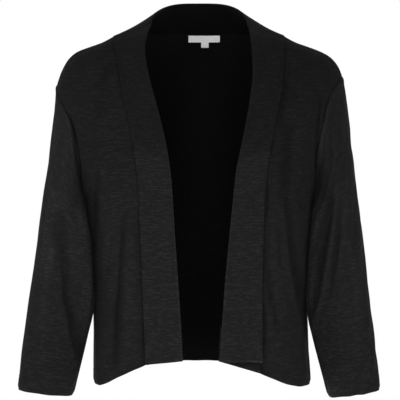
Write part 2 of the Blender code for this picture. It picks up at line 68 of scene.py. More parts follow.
# The cut, in millimetres: +X is the wearer's left, -Y the front, +Z up, and z 0 is at the shoulders
mm = 0.001
sideSign = {"right": -1.0, "left": 1.0}
underarm, hem, cuff = 8.0, 14.0, 12.0   # where t reaches the underarm and the hem, and s the cuff

armholes = {
    "columns": ("t", "x", "z", "frontY", "backY"),
    "right": [
        (0, 210.5, -52, 0, 0), (1, 208.5, -64, -13, 13), (2, 200, -83, -29, 28),
        (3, 188, -104, -45, 43), (4, 178.5, -132, -56, 54), (5, 173.3, -160, -59, 58),
        (6, 170.3, -187, -49, 50), (7, 168.5, -206, -28, 30), (8, 167.5, -216, 0, 0),
    ],
    "left": [
        (0, 212.5, -40, 0, 0), (1, 205.5, -48, -13, 13), (2, 194, -65, -29, 28),
        (3, 185, -88, -44, 43), (4, 178.5, -118, -55, 54), (5, 171.5, -150, -59, 58),
        (6, 168.7, -180, -52, 52), (7, 168.3, -202, -30, 31), (8, 169, -215.5, 0, 0),
    ],
}
sideSeams = {
    "columns": ("t", "x", "y", "z"),
    "right": [
        (8, 167.5, 0, -216), (8.5, 167.3, 13, -235), (9, 165.4, 24, -256), (10, 161.4, 29, -292),
        (11, 158.2, 28, -335), (12, 156.8, 25, -380), (13, 155.9, 20, -432), (14, 156.1, 16, -490.8),
    ],
    "left": [
        (8, 169, 0, -215.5), (8.5, 168.7, 13, -235), (9, 168.0, 24, -256), (10, 165.2, 29, -292),
        (11, 162.6, 28, -338), (12, 160.6, 25, -383), (13, 161.8, 20, -435), (14, 165.2, 16, -492),
    ],
}
bandSeams = {
    "columns": ("t", "x", "y", "z"),
    "right": [
        (0, 126.5, 0, 20), (1, 123.6, -26, 5.3), (2, 119, -50, -18.5), (3, 111.7, -74, -56.3),
        (4, 102, -93, -100.4), (5, 94.2, -103, -144), (6, 87.8, -108, -186), (7, 86, -109, -213),
        (8, 85, -110, -238), (9, 83.3, -111, -267), (10, 82, -111, -297), (11, 80.5, -111, -332),
        (12, 79, -111, -370), (13, 77.6, -110, -411), (14, 76.2, -108, -457),
    ],
    "left": [
        (0, 126.5, 0, 20), (1, 124.6, -26, 5.3), (2, 123.3, -50, -19), (3, 119.5, -74, -56.3),
        (4, 110.7, -93, -100.4), (5, 102.8, -103, -144), (6, 96.5, -108, -186), (7, 94, -109, -212),
        (8, 92.6, -110, -238), (9, 91.4, -111, -267), (10, 90.6, -112, -298), (11, 90, -113, -334),
        (12, 89.7, -113, -373), (13, 89.6, -113, -416), (14, 89.6, -113, -469.5),
    ],
}
bandEdges = {
    "columns": ("t", "x", "y", "z"),
    "right": [
        (0, 71.6, -20, 35.5), (1, 75.4, -50, 17.8), (2, 77.8, -76, -4.2), (3, 73, -98, -37.5),
        (4, 60.5, -114, -84.2), (5, 47.8, -124, -135), (6, 39.8, -128, -183), (7, 37.4, -129, -212),
        (8, 35.8, -129, -238), (9, 34, -129, -267), (10, 32, -129, -297), (11, 29.6, -129, -332),
        (12, 27, -129, -370), (13, 24.6, -128, -410), (14, 22.6, -127, -450),
    ],
    "left": [
        (0, 72.4, -20, 35.5), (1, 74.2, -50, 17.8), (2, 75.4, -76, -4.2), (3, 75.8, -98, -37.5),
        (4, 70.2, -114, -84.2), (5, 60.6, -124, -135), (6, 50.8, -128, -183), (7, 47.6, -129, -212),
        (8, 45, -129, -238), (9, 42, -129, -267), (10, 39, -129, -298), (11, 35.6, -128, -334),
        (12, 32.6, -127, -373), (13, 29.9, -126, -412), (14, 27.5, -124, -450),
    ],
}
shoulderSeams = {
    "columns": ("u", "x", "z"),
    "right": [
        (0, 126.5, 20), (0.2, 143.5, 11), (0.4, 163, 4), (0.6, 180.5, -3),
        (0.75, 192, -12.5), (0.88, 202.8, -30.5), (1, 210.5, -52),
    ],
    "left": [
        (0, 126.5, 20), (0.2, 142.5, 11.5), (0.4, 161, 4.8), (0.6, 180, -2.5),
        (0.75, 194, -10.5), (0.88, 206, -24.5), (1, 212.5, -40),
    ],
}
frontTurns = {
    "columns": ("t", "turn", "power", "drop"),
    "both": [
        (0, 1.0, 1.18, 1.0), (1, 0.95, 1.12, 1.0), (2, 0.84, 1.05, 0.8), (3, 0.75, 1.0, 0.5),
        (4, 0.7, 1.0, 0.2), (5, 0.7, 0.98, 0.0), (6, 0.76, 0.96, 0.0), (7, 0.88, 0.93, 0.0),
        (8, 1.0, 0.9, 0.0), (14, 1.0, 0.9, 0.0),
    ],
}
backRows = {
    "columns": ("t", "y", "z", "neckX", "power", "share"),
    "both": [
        (0, 80, 22, 126.5, 1.0, 0.0), (1, 86, -5, 122, 1.0, 0.48), (2, 94, -35, 117, 0.95, 0.8),
        (3, 99, -75, 111, 0.9, 0.96), (4, 103, -115, 106, 0.85, 1.0), (5, 105, -152, 100, 0.8, 1.0),
        (6, 105.5, -185, 96, 0.7, 1.0), (7, 105.5, -210, 94, 0.58, 1.0), (8, 105.5, -232, 92, 0.48, 1.0),
        (9, 105, -268, 90, 0.46, 1.0), (10, 104.5, -300, 88, 0.46, 1.0), (11, 104, -338, 86, 0.46, 1.0),
        (12, 103, -380, 85, 0.46, 1.0), (13, 102, -425, 84, 0.46, 1.0), (14, 101, -467, 84, 0.46, 1.0),
    ],
}
sleeveRings = {
    "columns": ("s", "outerX", "outerZ", "innerX", "innerZ", "halfDepth", "forward", "bow"),
    "right": [
        (0, 210.5, -52, 167.5, -216, 58, 0, 1.0), (1, 213.2, -82, 169.4, -219, 61.5, 0.5, 0.72),
        (2, 216.3, -115, 169.1, -224, 64.5, 3, 0.45), (3, 219.2, -148, 168.4, -230.4, 66, 8, 0.24),
        (4, 222.7, -181, 167.5, -239.5, 65.5, 14.5, 0.1), (5, 227.5, -214, 166.0, -253, 63.5, 21, 0),
        (6, 232.6, -251, 162.4, -275, 61, 25, 0), (7, 237.4, -291, 158.6, -306, 58.5, 27, 0),
        (8, 242.5, -331, 156.6, -341, 55.5, 28, 0), (9, 248.3, -371, 155.4, -381, 52, 28, 0),
        (10, 254.3, -412, 163.4, -421, 47.5, 28, 0), (11, 259.8, -454, 173.6, -464, 42, 28, 0),
        (12, 264.8, -499, 184.4, -507.5, 36.5, 28, 0),
    ],
    "left": [
        (0, 212.5, -40, 169, -215.5, 58, 0, 1.0), (1, 218, -72, 171.4, -218.6, 61.5, 0.5, 0.72),
        (2, 221.8, -108, 171.5, -223.5, 64.5, 3, 0.45), (3, 224.6, -144, 170.3, -230.2, 66, 8, 0.24),
        (4, 227.9, -180, 169.6, -239.5, 65.5, 14.5, 0.1), (5, 231.6, -214, 168.5, -253, 63.5, 21, 0),
        (6, 236.1, -251, 165.7, -275, 61, 25, 0), (7, 240.4, -291, 163.1, -306, 58.5, 27, 0),
        (8, 244.9, -331, 161.3, -341, 55.5, 28, 0), (9, 249.5, -371, 159.4, -382, 52, 28, 0),
        (10, 254.6, -412, 166.8, -423, 47.5, 28, 0), (11, 259.8, -454, 177.8, -466, 42, 28, 0),
        (12, 264.8, -499, 189.4, -510, 36.5, 28, 0),
    ],
}
sleeveSquareness = 0.85
neckline = {
    "halfWidth": 126.5, "depth": 78, "sideZ": 20, "rise": 10,
    "collarHalfWidth": 72, "collarFrontY": -20, "collarBackY": 58,
    "collarSideZ": 35.5, "collarRise": 37.6, "collarSpring": 1.36, "collarFlatness": 1.08,
    "shoulderReach": 3.5, "backSquareness": 2.5,
}
hemSags = {"right": (4.2, 3.5), "left": (4.2, 1.3), "start": 6}   # how far down, and how near the side


def between(table, side, column, t):
    # a smooth curve through a column's values, which never swings past them
    rows = np.array(table[side if side in table else "both"], float)
    keys, values = rows[:, 0], rows[:, table["columns"].index(column)]
    steps = np.diff(keys)
    rises = np.diff(values) / steps
    slopes = np.concatenate([rises[:1], np.zeros(len(rises) - 1), rises[-1:]])
    for i in range(1, len(rises)):
        one, two, before, after = rises[i - 1], rises[i], steps[i - 1], steps[i]
        if one * two > 0:
            first, second = 2 * after + before, after + 2 * before
            slopes[i] = (first + second) / (first / one + second / two)
    t = np.asarray(t, float)
    i = np.clip(np.searchsorted(keys, t, side="right") - 1, 0, len(steps) - 1)
    f = (t - keys[i]) / steps[i]
    start = (1 + 2 * f) * (1 - f) ** 2 * values[i] + f * (1 - f) ** 2 * steps[i] * slopes[i]
    return start + f * f * (3 - 2 * f) * values[i + 1] + f * f * (f - 1) * steps[i] * slopes[i + 1]


def stacked(x, y, z):
    return np.stack(np.broadcast_arrays(x, y, z), axis=-1).astype(float)


def pointOn(table, side, t, names=("x", "y", "z")):
    return stacked(*[between(table, side, name, t) for name in names])


def mirrored(points, side):
    return points * np.array([sideSign[side], 1.0, 1.0])


def mixed(a, b, share):
    return a + (b - a) * np.asarray(share)[..., None]


# Folds seen from the front and from behind, in mm: depth, width, lean and a line of (x, z) places.
# A trough has a depth below 0, and a roll of cloth one above 0.
# A lean below 0 makes the side towards -X steep.
frontFolds = [
    (-3.4, 3.6, 0.0, [(-186, -99), (-181, -121), (-177, -157), (-172, -193), (-169, -218)]),
    (-4.4, 5.0, 0.3, [(-144, -180), (-147, -229), (-149, -273), (-150, -300)]),
    (-2.6, 10.0, 0.0, [(126, -105), (125, -150), (123, -200), (121, -240)]),
    (-4.2, 4.4, -0.3, [
        (-106, -242), (-109, -279), (-111, -315), (-113, -351), (-116, -386), (-118, -422), (-120, -459),
    ]),
    (-3.0, 9.0, 0.0, [(-116, -345), (-117, -408), (-120, -470)]),
    (-3.0, 10.0, 0.0, [(-202, -244), (-197, -291), (-194, -326)]),
    (-5.6, 5.4, -0.7, [(-195, -310), (-192, -366), (-186, -395), (-182, -422), (-177, -450)]),
    (-1.6, 9.0, 0.0, [(-126, -19), (-136, -55), (-146, -99)]),
    (1.8, 9.0, 0.0, [(-126, -225), (-129, -280), (-133, -330)]),
    (-3.6, 3.6, -0.3, [(175, -73), (172, -94), (170, -122), (168, -149), (167, -178)]),
    (1.8, 3.6, 0.0, [(190, -77), (184, -103), (177, -129), (173, -152)]),
    (-5.6, 4.6, 0.6, [
        (192, -215), (188, -251), (182, -291), (178, -318), (173, -352), (169, -374), (163, -402),
    ]),
    (-3.4, 4.6, 0.3, [(206, -215), (201, -251), (197, -295), (192, -334), (187, -366)]),
    (-7.5, 5.6, -0.85, [
        (124, -222), (128, -272), (132, -304), (136, -331), (141, -358), (148, -385), (154, -420),
    ]),
    (-2.8, 5.0, -0.2, [(97, -310), (101, -353), (107, -382), (112, -418)]),
    (-3.4, 7.0, 0.0, [(148, -325), (152, -364), (156, -400)]),
    (-1.8, 6.0, 0.0, [(127, -35), (122, -67), (116, -95), (111, -129)]),
    (-1.8, 6.0, 0.0, [(140, -205), (143, -222), (145, -246)]),
    (-1.8, 3.0, 0.3, [(-121, -250), (-128, -300), (-132, -350)]),
    (-1.6, 3.0, -0.3, [(112, -245), (114, -290), (118, -330)]),
    (-1.6, 3.4, 0.3, [(-218, -170), (-222, -230), (-230, -300)]),
    (-1.5, 3.4, -0.3, [(226, -190), (224, -250), (222, -310)]),
    (1.6, 10.0, 0.0, [(220, -280), (226, -350), (232, -430)]),
    (1.6, 10.0, 0.0, [(-216, -290), (-222, -360), (-228, -430)]),
]
backFolds = [
    (-3.4, 6.0, 0.2, [(-177, -100), (-171, -150), (-168, -214)]),
    (-3.4, 7.0, 0.3, [(-152, -140), (-147, -205), (-140, -262)]),
    (-4.6, 12.0, -0.3, [(-92, -250), (-84, -340), (-80, -470)]),
    (2.4, 14.0, 0.0, [(-52, -240), (-46, -350), (-42, -468)]),
    (-3.6, 11.0, 0.3, [(-10, -270), (-5, -370), (-2, -468)]),
    (2.2, 13.0, 0.0, [(40, -260), (46, -350), (50, -470)]),
    (-5.2, 10.0, 0.5, [(86, -235), (95, -330), (104, -474)]),
    (-3.8, 7.0, -0.3, [(154, -145), (148, -210), (142, -272)]),
    (-3.4, 6.0, -0.2, [(176, -95), (170, -150), (168, -214)]),
    (-5.4, 7.5, 0.3, [(-224, -264), (-208, -300), (-190, -322), (-172, -332)]),
    (-4.0, 7.0, 0.2, [(-234, -308), (-214, -338), (-194, -354)]),
    (-2.4, 9.0, 0.0, [(-206, -200), (-204, -246), (-196, -282)]),
    (-5.8, 7.5, -0.3, [(226, -258), (209, -296), (192, -318), (176, -330)]),
    (-4.0, 7.0, -0.2, [(238, -316), (216, -344), (196, -360)]),
    (-2.4, 9.0, 0.0, [(210, -196), (206, -240), (199, -276)]),
]
foldAtEnds = 0.2


def foldHeight(folds, x, z):
    height = np.zeros_like(x)
    for depth, width, lean, line in folds:
        nearest, along, offset = np.full_like(x, np.inf), np.zeros_like(x), np.zeros_like(x)
        for i, ((ax, az), (bx, bz)) in enumerate(zip(line, line[1:])):
            length = (bx - ax) ** 2 + (bz - az) ** 2
            f = np.clip(((x - ax) * (bx - ax) + (z - az) * (bz - az)) / length, 0, 1)
            gap = np.hypot(x - ax - f * (bx - ax), z - az - f * (bz - az))
            closer = gap < nearest
            along = np.where(closer, (i + f) / (len(line) - 1), along)
            offset = np.where(closer, x - ax - f * (bx - ax), offset)
            nearest = np.minimum(gap, nearest)
        wide = width * (1 - 0.6 * lean * np.tanh(2 * offset / width))
        fade = foldAtEnds + (1 - foldAtEnds) * np.sin(math.pi * along) ** 0.7
        trough = np.exp(-((nearest / wide) ** 2))
        rolls = np.exp(-((nearest / (2.3 * wide)) ** 2))     # the cloth that a trough takes bulges beside it
        height += depth * fade * (1.3 * trough - 0.35 * rolls)
    return height


def folded(points, weight, facing):
    x, z = points[..., 0], points[..., 2]
    shift = np.where(facing < 0, -foldHeight(frontFolds, x, z), foldHeight(backFolds, x, z))
    moved = points.copy()
    moved[..., 1] += weight * shift
    return moved


# Lines that two pieces share
def armholePoint(side, t, facing):
    y = np.where(facing < 0, between(armholes, side, "frontY", t), between(armholes, side, "backY", t))
    return stacked(between(armholes, side, "x", t), y, between(armholes, side, "z", t))


def sidePoint(side, t, facing):
    above = armholePoint(side, np.minimum(t, underarm), facing)
    below = pointOn(sideSeams, side, np.maximum(t, underarm))
    return np.where((np.asarray(t) <= underarm)[..., None], above, below)


def flatness(t):
    return np.sin(math.pi * np.minimum(t, underarm) / underarm)   # how much of a fold is left at the seam


def shoulderPoint(side, u):
    return stacked(between(shoulderSeams, side, "x", u), 0.0, between(shoulderSeams, side, "z", u))


def neckPoint(turn):
    angle = np.asarray(turn) * math.pi / 2
    rise = neckline["sideZ"] + neckline["rise"] * np.cos(angle)
    return stacked(neckline["halfWidth"] * np.sin(angle), neckline["depth"] * np.cos(angle), rise)


def collarPoint(turn):
    angle = np.asarray(turn) * math.pi / 2
    reach = neckline["collarBackY"] - neckline["collarFrontY"]
    spring = (1 - np.cos(angle)) ** neckline["collarSpring"]
    x = neckline["collarHalfWidth"] * np.sin(angle) ** neckline["collarFlatness"]
    y = neckline["collarFrontY"] + reach * np.cos(angle)
    return stacked(x, y, neckline["collarSideZ"] + neckline["collarRise"] * (1 - spring))


# The middle of each cloth's thickness
def frontRow(side, t, u):
    seam, edge = pointOn(bandSeams, side, t), sidePoint(side, t, -1)
    turn = between(frontTurns, side, "turn", t) * math.pi / 2
    power = between(frontTurns, side, "power", t)
    drop = between(frontTurns, side, "drop", t)
    across = (np.sin(turn * u) / np.sin(turn)) ** power
    left = (np.maximum(np.cos(turn * u) - np.cos(turn), 0) / (1 - np.cos(turn))) ** power
    fall = (1 - drop) * across + drop * (1 - left)
    down, lean = hemSags[side]
    lower = down * np.sin(math.pi * across**lean) * (t / hem) ** hemSags["start"]
    x = seam[..., 0] + (edge[..., 0] - seam[..., 0]) * across
    y = edge[..., 1] + (seam[..., 1] - edge[..., 1]) * left
    return stacked(x, y, seam[..., 2] + (edge[..., 2] - seam[..., 2]) * fall - lower)


def frontPoint(side, t, u):
    near = np.maximum(0, 1 - t / neckline["shoulderReach"]) ** 2
    points = frontRow(side, t, u)
    points += near[..., None] * (shoulderPoint(side, u) - frontRow(side, np.zeros_like(t), u))
    weight = (1 - u**3 * (1 - flatness(t))) * np.minimum(1, t / 2)
    return folded(mirrored(points, side), weight, -1)


def backPoint(side, t, u):
    # u runs from 0 at the middle of the back to 1 at the neck point and 2 at the armhole or side
    edge = sidePoint(side, t, 1)
    neckX = between(backRows, side, "neckX", t)
    share = between(backRows, side, "share", t)
    outer = np.maximum(u - 1, 0)
    isNeck = (u <= 1)[..., None]
    corner = np.where(isNeck, neckPoint(np.minimum(u, 1)), shoulderPoint(side, outer))
    x = np.where(u <= 1, neckX * u, neckX + (edge[..., 0] - neckX) * np.sin(outer * math.pi / 2))
    out = np.minimum(x / edge[..., 0], 1)
    deep = (1 - out ** neckline["backSquareness"]) ** between(backRows, side, "power", t)
    y = edge[..., 1] + (between(backRows, side, "y", t) - edge[..., 1]) * deep
    middleZ = between(backRows, side, "z", t)
    plain = stacked(x, y, middleZ + (edge[..., 2] - middleZ) * out**2)
    points = mixed(corner, plain, share)
    rim = mixed(shoulderPoint(side, np.ones_like(t)), edge, share)
    points += (outer**3)[..., None] * (edge - rim)
    weight = (1 - outer**3 * (1 - flatness(t))) * np.minimum(1, t / 2)
    return folded(mirrored(points, side), weight, 1)


def squaredSine(angle):
    # a sine that rises faster, which flattens a sleeve's front and back
    return np.sign(np.sin(angle)) * np.abs(np.sin(angle)) ** sleeveSquareness


def plainRing(side, around):
    outerX, outerZ, innerX, innerZ, halfDepth = sleeveRings[side][0][1:6]
    angle = 2 * math.pi * around
    share = (1 - np.cos(angle)) / 2
    x, z = outerX + (innerX - outerX) * share, outerZ + (innerZ - outerZ) * share
    return stacked(x, -halfDepth * squaredSine(angle), z)


def armholeRound(side, around):
    facing = np.where(around < 0.5, -1, 1)
    t = underarm * np.where(around <= 0.5, around * 2, 2 - around * 2)
    return armholePoint(side, t, facing)


def sleevePoint(side, s, around):
    # around runs from 0 at the shoulder, past the front at 0.25 and the underarm at 0.5, to 1
    around = around % 1.0
    angle = 2 * math.pi * around
    share = (1 - np.cos(angle)) / 2
    outerX, outerZ = between(sleeveRings, side, "outerX", s), between(sleeveRings, side, "outerZ", s)
    innerX, innerZ = between(sleeveRings, side, "innerX", s), between(sleeveRings, side, "innerZ", s)
    x, z = outerX * (1 - share) + innerX * share, outerZ * (1 - share) + innerZ * share
    depth = between(sleeveRings, side, "halfDepth", s) * squaredSine(angle)
    y = -depth - between(sleeveRings, side, "forward", s)
    points = stacked(x, y, z)
    bow = between(sleeveRings, side, "bow", s)[..., None]
    points += bow * (armholeRound(side, around) - plainRing(side, around))
    facing = np.where(around < 0.5, -1, 1)
    return folded(mirrored(points, side), np.abs(np.sin(angle)), facing)


def bandPoint(side, t, across):
    # t below 0 runs back from the shoulder to the middle of the neck at -1; across 1 is the free edge
    below = np.maximum(t, 0)
    turn = np.clip(1 + t, 0, 1)
    isNeck = (t < 0)[..., None]
    seam = np.where(isNeck, neckPoint(turn), pointOn(bandSeams, side, below))
    edge = np.where(isNeck, collarPoint(turn), pointOn(bandEdges, side, below))
    points = mirrored(mixed(seam, edge, across), side)
    return folded(points, np.minimum(1, below / 2), -1)


# Cloth as a closed shell with round edges
def lengthAlong(grid, axis):
    steps = np.linalg.norm(np.diff(grid, axis=axis), axis=2)
    start = np.zeros_like(np.take(steps, [0], axis=axis))
    return np.concatenate([start, np.cumsum(steps, axis=axis)], axis=axis)


def bump(distance, width):
    return np.exp(-((distance / width) ** 2))


def step(value, low, high):
    f = np.clip((value - low) / (high - low), 0, 1)
    return f * f * (3 - 2 * f)


def within(value, low, fullFrom, fullTo, high):
    return step(value, low, fullFrom) * (1 - step(value, fullTo, high))


def nearerThan(distance, reach):
    # full up to the first length of the reach, then fading over the second
    full, fade = reach
    return bump(np.maximum(distance - full, 0), fade)


def ripples(u, v, seed, height, across=(28, 60), down=(70, 190)):
    # uneven, soft waves that run mostly down the cloth
    chance = np.random.default_rng(seed)
    total = np.zeros_like(u)
    for _ in range(7):
        wide = chance.uniform(*across)
        tall = chance.uniform(*down) * chance.choice([-1, 1])
        total += np.sin(2 * math.pi * (u / wide + v / tall) + chance.uniform(0, 2 * math.pi))
    return height * total / math.sqrt(7)


def clothShell(
    name, grid, place, inside, wall, outerRelief, innerRelief, paintedShading, finish, darkRim=None, innerShading=None
):
    # grid: rows of points; place: their (u, v) on the flat cloth in mm; inside: a point behind each
    # paintedShading: painted light and shade, how much paler the cloth is painted at each point, or below 0
    # how much darker
    # darkRim: where the rim is flat and painted as dark as the inner face, a painted shade at a joint
    rows, columns = grid.shape[:2]
    normals = np.cross(np.gradient(grid, axis=0), np.gradient(grid, axis=1))
    normals /= np.linalg.norm(normals, axis=2, keepdims=True) + 1e-12
    turned = (normals * (grid - inside)).sum() < 0
    if turned:
        normals = -normals
    outer = grid + normals * (wall / 2 + outerRelief)[..., None]
    inner = grid - normals * (wall / 2 + innerRelief)[..., None]
    count = rows * columns
    index = np.arange(count).reshape(rows, columns)
    faces = np.stack([index[:-1, :-1], index[1:, :-1], index[1:, 1:], index[:-1, 1:]], axis=-1).reshape(-1, 4)
    border = np.concatenate([index[0, :-1], index[:-1, -1], index[-1, :0:-1], index[:0:-1, 0]])
    rimShare = np.zeros(count) if darkRim is None else darkRim.ravel()
    outwards = np.zeros_like(grid)
    for axis, end, beside in ((0, 0, 1), (0, -1, -2), (1, 0, 1), (1, -1, -2)):
        away = np.take(grid, end, axis) - np.take(grid, beside, axis)
        away /= np.linalg.norm(away, axis=-1, keepdims=True) + 1e-12
        if axis == 0:
            outwards[end] += away * (1 - 0.9 * rimShare.reshape(rows, columns)[end][:, None])
        else:
            outwards[:, end] += away
    outwards = outwards.reshape(-1, 3)[border]
    outwards /= np.maximum(np.linalg.norm(outwards, axis=1, keepdims=True), 1)
    top, low = outer.reshape(-1, 3)[border], inner.reshape(-1, 3)[border]
    middle, half = (top + low) / 2, (top - low) / 2
    reach = np.linalg.norm(half, axis=1, keepdims=True)
    turns = 4
    rims = []
    for k in range(1, turns):
        angle = math.pi * k / turns
        rims.append(middle + half * math.cos(angle) + outwards * reach * math.sin(angle))
    points = np.concatenate([outer.reshape(-1, 3), inner.reshape(-1, 3), *rims])
    loops = [border] + [2 * count + k * len(border) + np.arange(len(border)) for k in range(turns - 1)]
    loops.append(count + border)
    strips = []
    for near, far in zip(loops, loops[1:]):
        strips.append(np.stack([near, np.roll(near, -1), np.roll(far, -1), far], axis=-1))
    allFaces = np.concatenate([faces, faces[:, ::-1] + count, *strips])
    if turned:
        allFaces = allFaces[:, ::-1]
    mesh = bpy.data.meshes.new(name)
    mesh.from_pydata(points * mm, [], allFaces.tolist())
    mesh.shade_smooth()
    onCloth = np.concatenate([place.reshape(-1, 2)] * 2 + [place.reshape(-1, 2)[border]] * (turns - 1)) / 10
    corners = np.empty(len(mesh.loops), np.int32)
    mesh.loops.foreach_get("vertex_index", corners)
    layer = mesh.uv_layers.new(name="cloth")      # centimetres across and down the cloth
    layer.data.foreach_set("uv", onCloth[corners].astype(np.float32).ravel())
    turnedIn = np.concatenate([np.zeros(count), np.ones(count)] + [rimShare[border]] * (turns - 1))
    hiddenShading = np.zeros(count) if innerShading is None else innerShading.ravel()
    shares = np.concatenate([paintedShading.ravel(), hiddenShading] + [paintedShading.ravel()[border]] * (turns - 1))
    # the painted light and shade, and which faces are turned in, kept as point attributes
    for attribute, values in (("paintedShading", shares), ("innerFace", turnedIn)):
        made = mesh.attributes.new(attribute, "FLOAT", "POINT")
        made.data.foreach_set("value", values.astype(np.float32))
    mesh.materials.append(finish)
    piece = bpy.data.objects.new(name, mesh)
    bpy.context.scene.collection.objects.link(piece)
    return piece, outer, normals


def pulledIn(grid, first=0.0, last=0.0, left=0.0, right=0.0):
    # each end of the rows and columns moved inwards by the length given
    grid = grid.copy()
    for end, beside, gap in ((0, 1, first), (-1, -2, last)):
        away = grid[beside] - grid[end]
        grid[end] += away / np.linalg.norm(away, axis=-1, keepdims=True) * gap
    for end, beside, gap in ((0, 1, left), (-1, -2, right)):
        away = grid[:, beside] - grid[:, end]
        grid[:, end] += away / np.linalg.norm(away, axis=-1, keepdims=True) * gap
    return grid


# Nodes and shader groups that more than one material uses
def added(tree, kind, inputs=(), **settings):
    # a new node; inputs holds a socket to link from or a plain value for each name or number
    node = tree.nodes.new(kind)
    for name, value in settings.items():
        setattr(node, name, value)
    for name, value in dict(inputs).items():
        if isinstance(value, bpy.types.NodeSocket):
            tree.links.new(value, node.inputs[name])
        else:
            node.inputs[name].default_value = value
    return node


def mathNode(tree, operation, *values):
    return added(tree, "ShaderNodeMath", enumerate(values), operation=operation).outputs[0]


def nodeGroup(name, inputs, output):
    # inputs: a start value for each name; every group also takes the place on the cloth
    group = bpy.data.node_groups.new(name, "ShaderNodeTree")
    group.interface.new_socket(name="Place", in_out="INPUT", socket_type="NodeSocketVector")
    for label, value in inputs.items():
        made = group.interface.new_socket(name=label, in_out="INPUT", socket_type="NodeSocketFloat")
        made.default_value = value
    group.interface.new_socket(name=output, in_out="OUTPUT", socket_type="NodeSocketFloat")
    given = group.nodes.new("NodeGroupInput").outputs
    split = added(group, "ShaderNodeSeparateXYZ", {0: given["Place"]})
    return group, given, split.outputs, group.nodes.new("NodeGroupOutput").inputs[output]


def makeSlubYarn():
    # thin crosswise streaks where the yarn is thicker, as a mask and a height
    usual = {"Streak Length": 2.4, "Streak Height": 0.14, "Rarity": 0.52, "Sharpness": 0.2, "Seed": 0.0}
    group, given, place, end = nodeGroup("slubYarn", usual, "Streak")
    across = mathNode(group, "DIVIDE", place["X"], given["Streak Length"])
    down = mathNode(group, "DIVIDE", place["Y"], given["Streak Height"])
    course = mathNode(group, "FLOOR", down)
    inCourse = mathNode(group, "SINE", mathNode(group, "MULTIPLY", mathNode(group, "FRACT", down), math.pi))
    # two uneven steps a course keep the noise of one course apart from the next one's
    apart = added(group, "ShaderNodeCombineXYZ", {
        "X": mathNode(group, "MULTIPLY_ADD", course, 7.31, across),
        "Y": mathNode(group, "MULTIPLY", course, 3.77),
        "Z": given["Seed"],
    })
    noise = added(group, "ShaderNodeTexNoise", {
        "Vector": apart.outputs[0], "Scale": 1.0, "Detail": 2.0, "Roughness": 0.55,
    })
    reach = mathNode(group, "ADD", given["Rarity"], given["Sharpness"])
    lifted = added(
        group, "ShaderNodeMapRange",
        {"Value": noise.outputs[0], "From Min": given["Rarity"], "From Max": reach},
        interpolation_type="SMOOTHSTEP",
    )
    group.links.new(mathNode(group, "MULTIPLY", lifted.outputs[0], inCourse), end)
    return group


def makeKnitLoops():
    # rows of small knitted loops, shaped like a V, as a height
    group, given, place, end = nodeGroup("knitLoops", {"Loop Width": 0.07, "Loop Height": 0.06}, "Height")
    across = mathNode(group, "DIVIDE", place["X"], given["Loop Width"])
    fraction = mathNode(group, "FRACT", across)
    leaning = mathNode(group, "ABSOLUTE", mathNode(group, "SUBTRACT", fraction, 0.5))
    rows = mathNode(group, "DIVIDE", place["Y"], given["Loop Height"])
    turn = mathNode(group, "MULTIPLY", mathNode(group, "ADD", rows, leaning), 2 * math.pi)
    ribs = mathNode(group, "SINE", mathNode(group, "MULTIPLY", fraction, math.pi))
    group.links.new(mathNode(group, "MULTIPLY_ADD", mathNode(group, "SINE", turn), 0.35, ribs), end)
    return group


slubYarn = makeSlubYarn()
knitLoops = makeKnitLoops()

jerseyFinish = {
    "dark": (0.0061, 0.0061, 0.0064, 1),
    "light": (0.016, 0.016, 0.0167, 1),
    "paintedLightGain": 2.4,                 # how much paler a painted shading of 1 makes the cloth: painted highlight
    "deep": 0.6,                 # and how much darker at -1, as a share: painted shade
    "innerShare": 0.34,          # how light the inner face is, beside the outer one: painted shade inside the garment
    "roughness": 0.85,
    "specular": 0.1,
    "sheen": 0.02,
    "sheenRoughness": 0.5,
    "sheenTint": (0.55, 0.55, 0.58, 1),
    "knitRelief": 0.00005,
    "slubRelief": 0.00012,
    "longStreaks": {"Streak Length": 1.3, "Streak Height": 0.11, "Rarity": 0.5, "Sharpness": 0.14},
    "shortStreaks": {"Streak Length": 0.5, "Streak Height": 0.07, "Rarity": 0.42},
    "longShare": 1.25,
    "shortShare": 0.5,
}
# the band's inner face gets a deeper painted shade
bandFinish = {**jerseyFinish, "light": (0.017, 0.017, 0.0177, 1), "innerShare": 0.045}


surfaceSockets = {
    "roughness": "Roughness", "specular": "Specular IOR Level", "sheen": "Sheen Weight",
    "sheenRoughness": "Sheen Roughness", "sheenTint": "Sheen Tint",
}


def placedGroup(tree, group, place, values=()):
    return added(tree, "ShaderNodeGroup", {"Place": place, **dict(values)}, node_tree=group).outputs[0]


def mixColour(tree, share, first, second):
    inputs = {"Factor": share, "A": first, "B": second}
    return added(tree, "ShaderNodeMix", inputs, data_type="RGBA", clamp_factor=True).outputs["Result"]


def newMaterial(name):
    made = bpy.data.materials.new(name)
    made.use_nodes = True
    return made, made.node_tree, made.node_tree.nodes["Principled BSDF"]


def finishSurface(tree, shader, colour, height, reliefDepth, values):
    bumped = added(tree, "ShaderNodeBump", {"Strength": 1.0, "Distance": reliefDepth, "Height": height})
    tree.links.new(colour, shader.inputs["Base Color"])
    tree.links.new(bumped.outputs[0], shader.inputs["Normal"])
    for label, socket in surfaceSockets.items():
        if label in values:
            shader.inputs[socket].default_value = values[label]


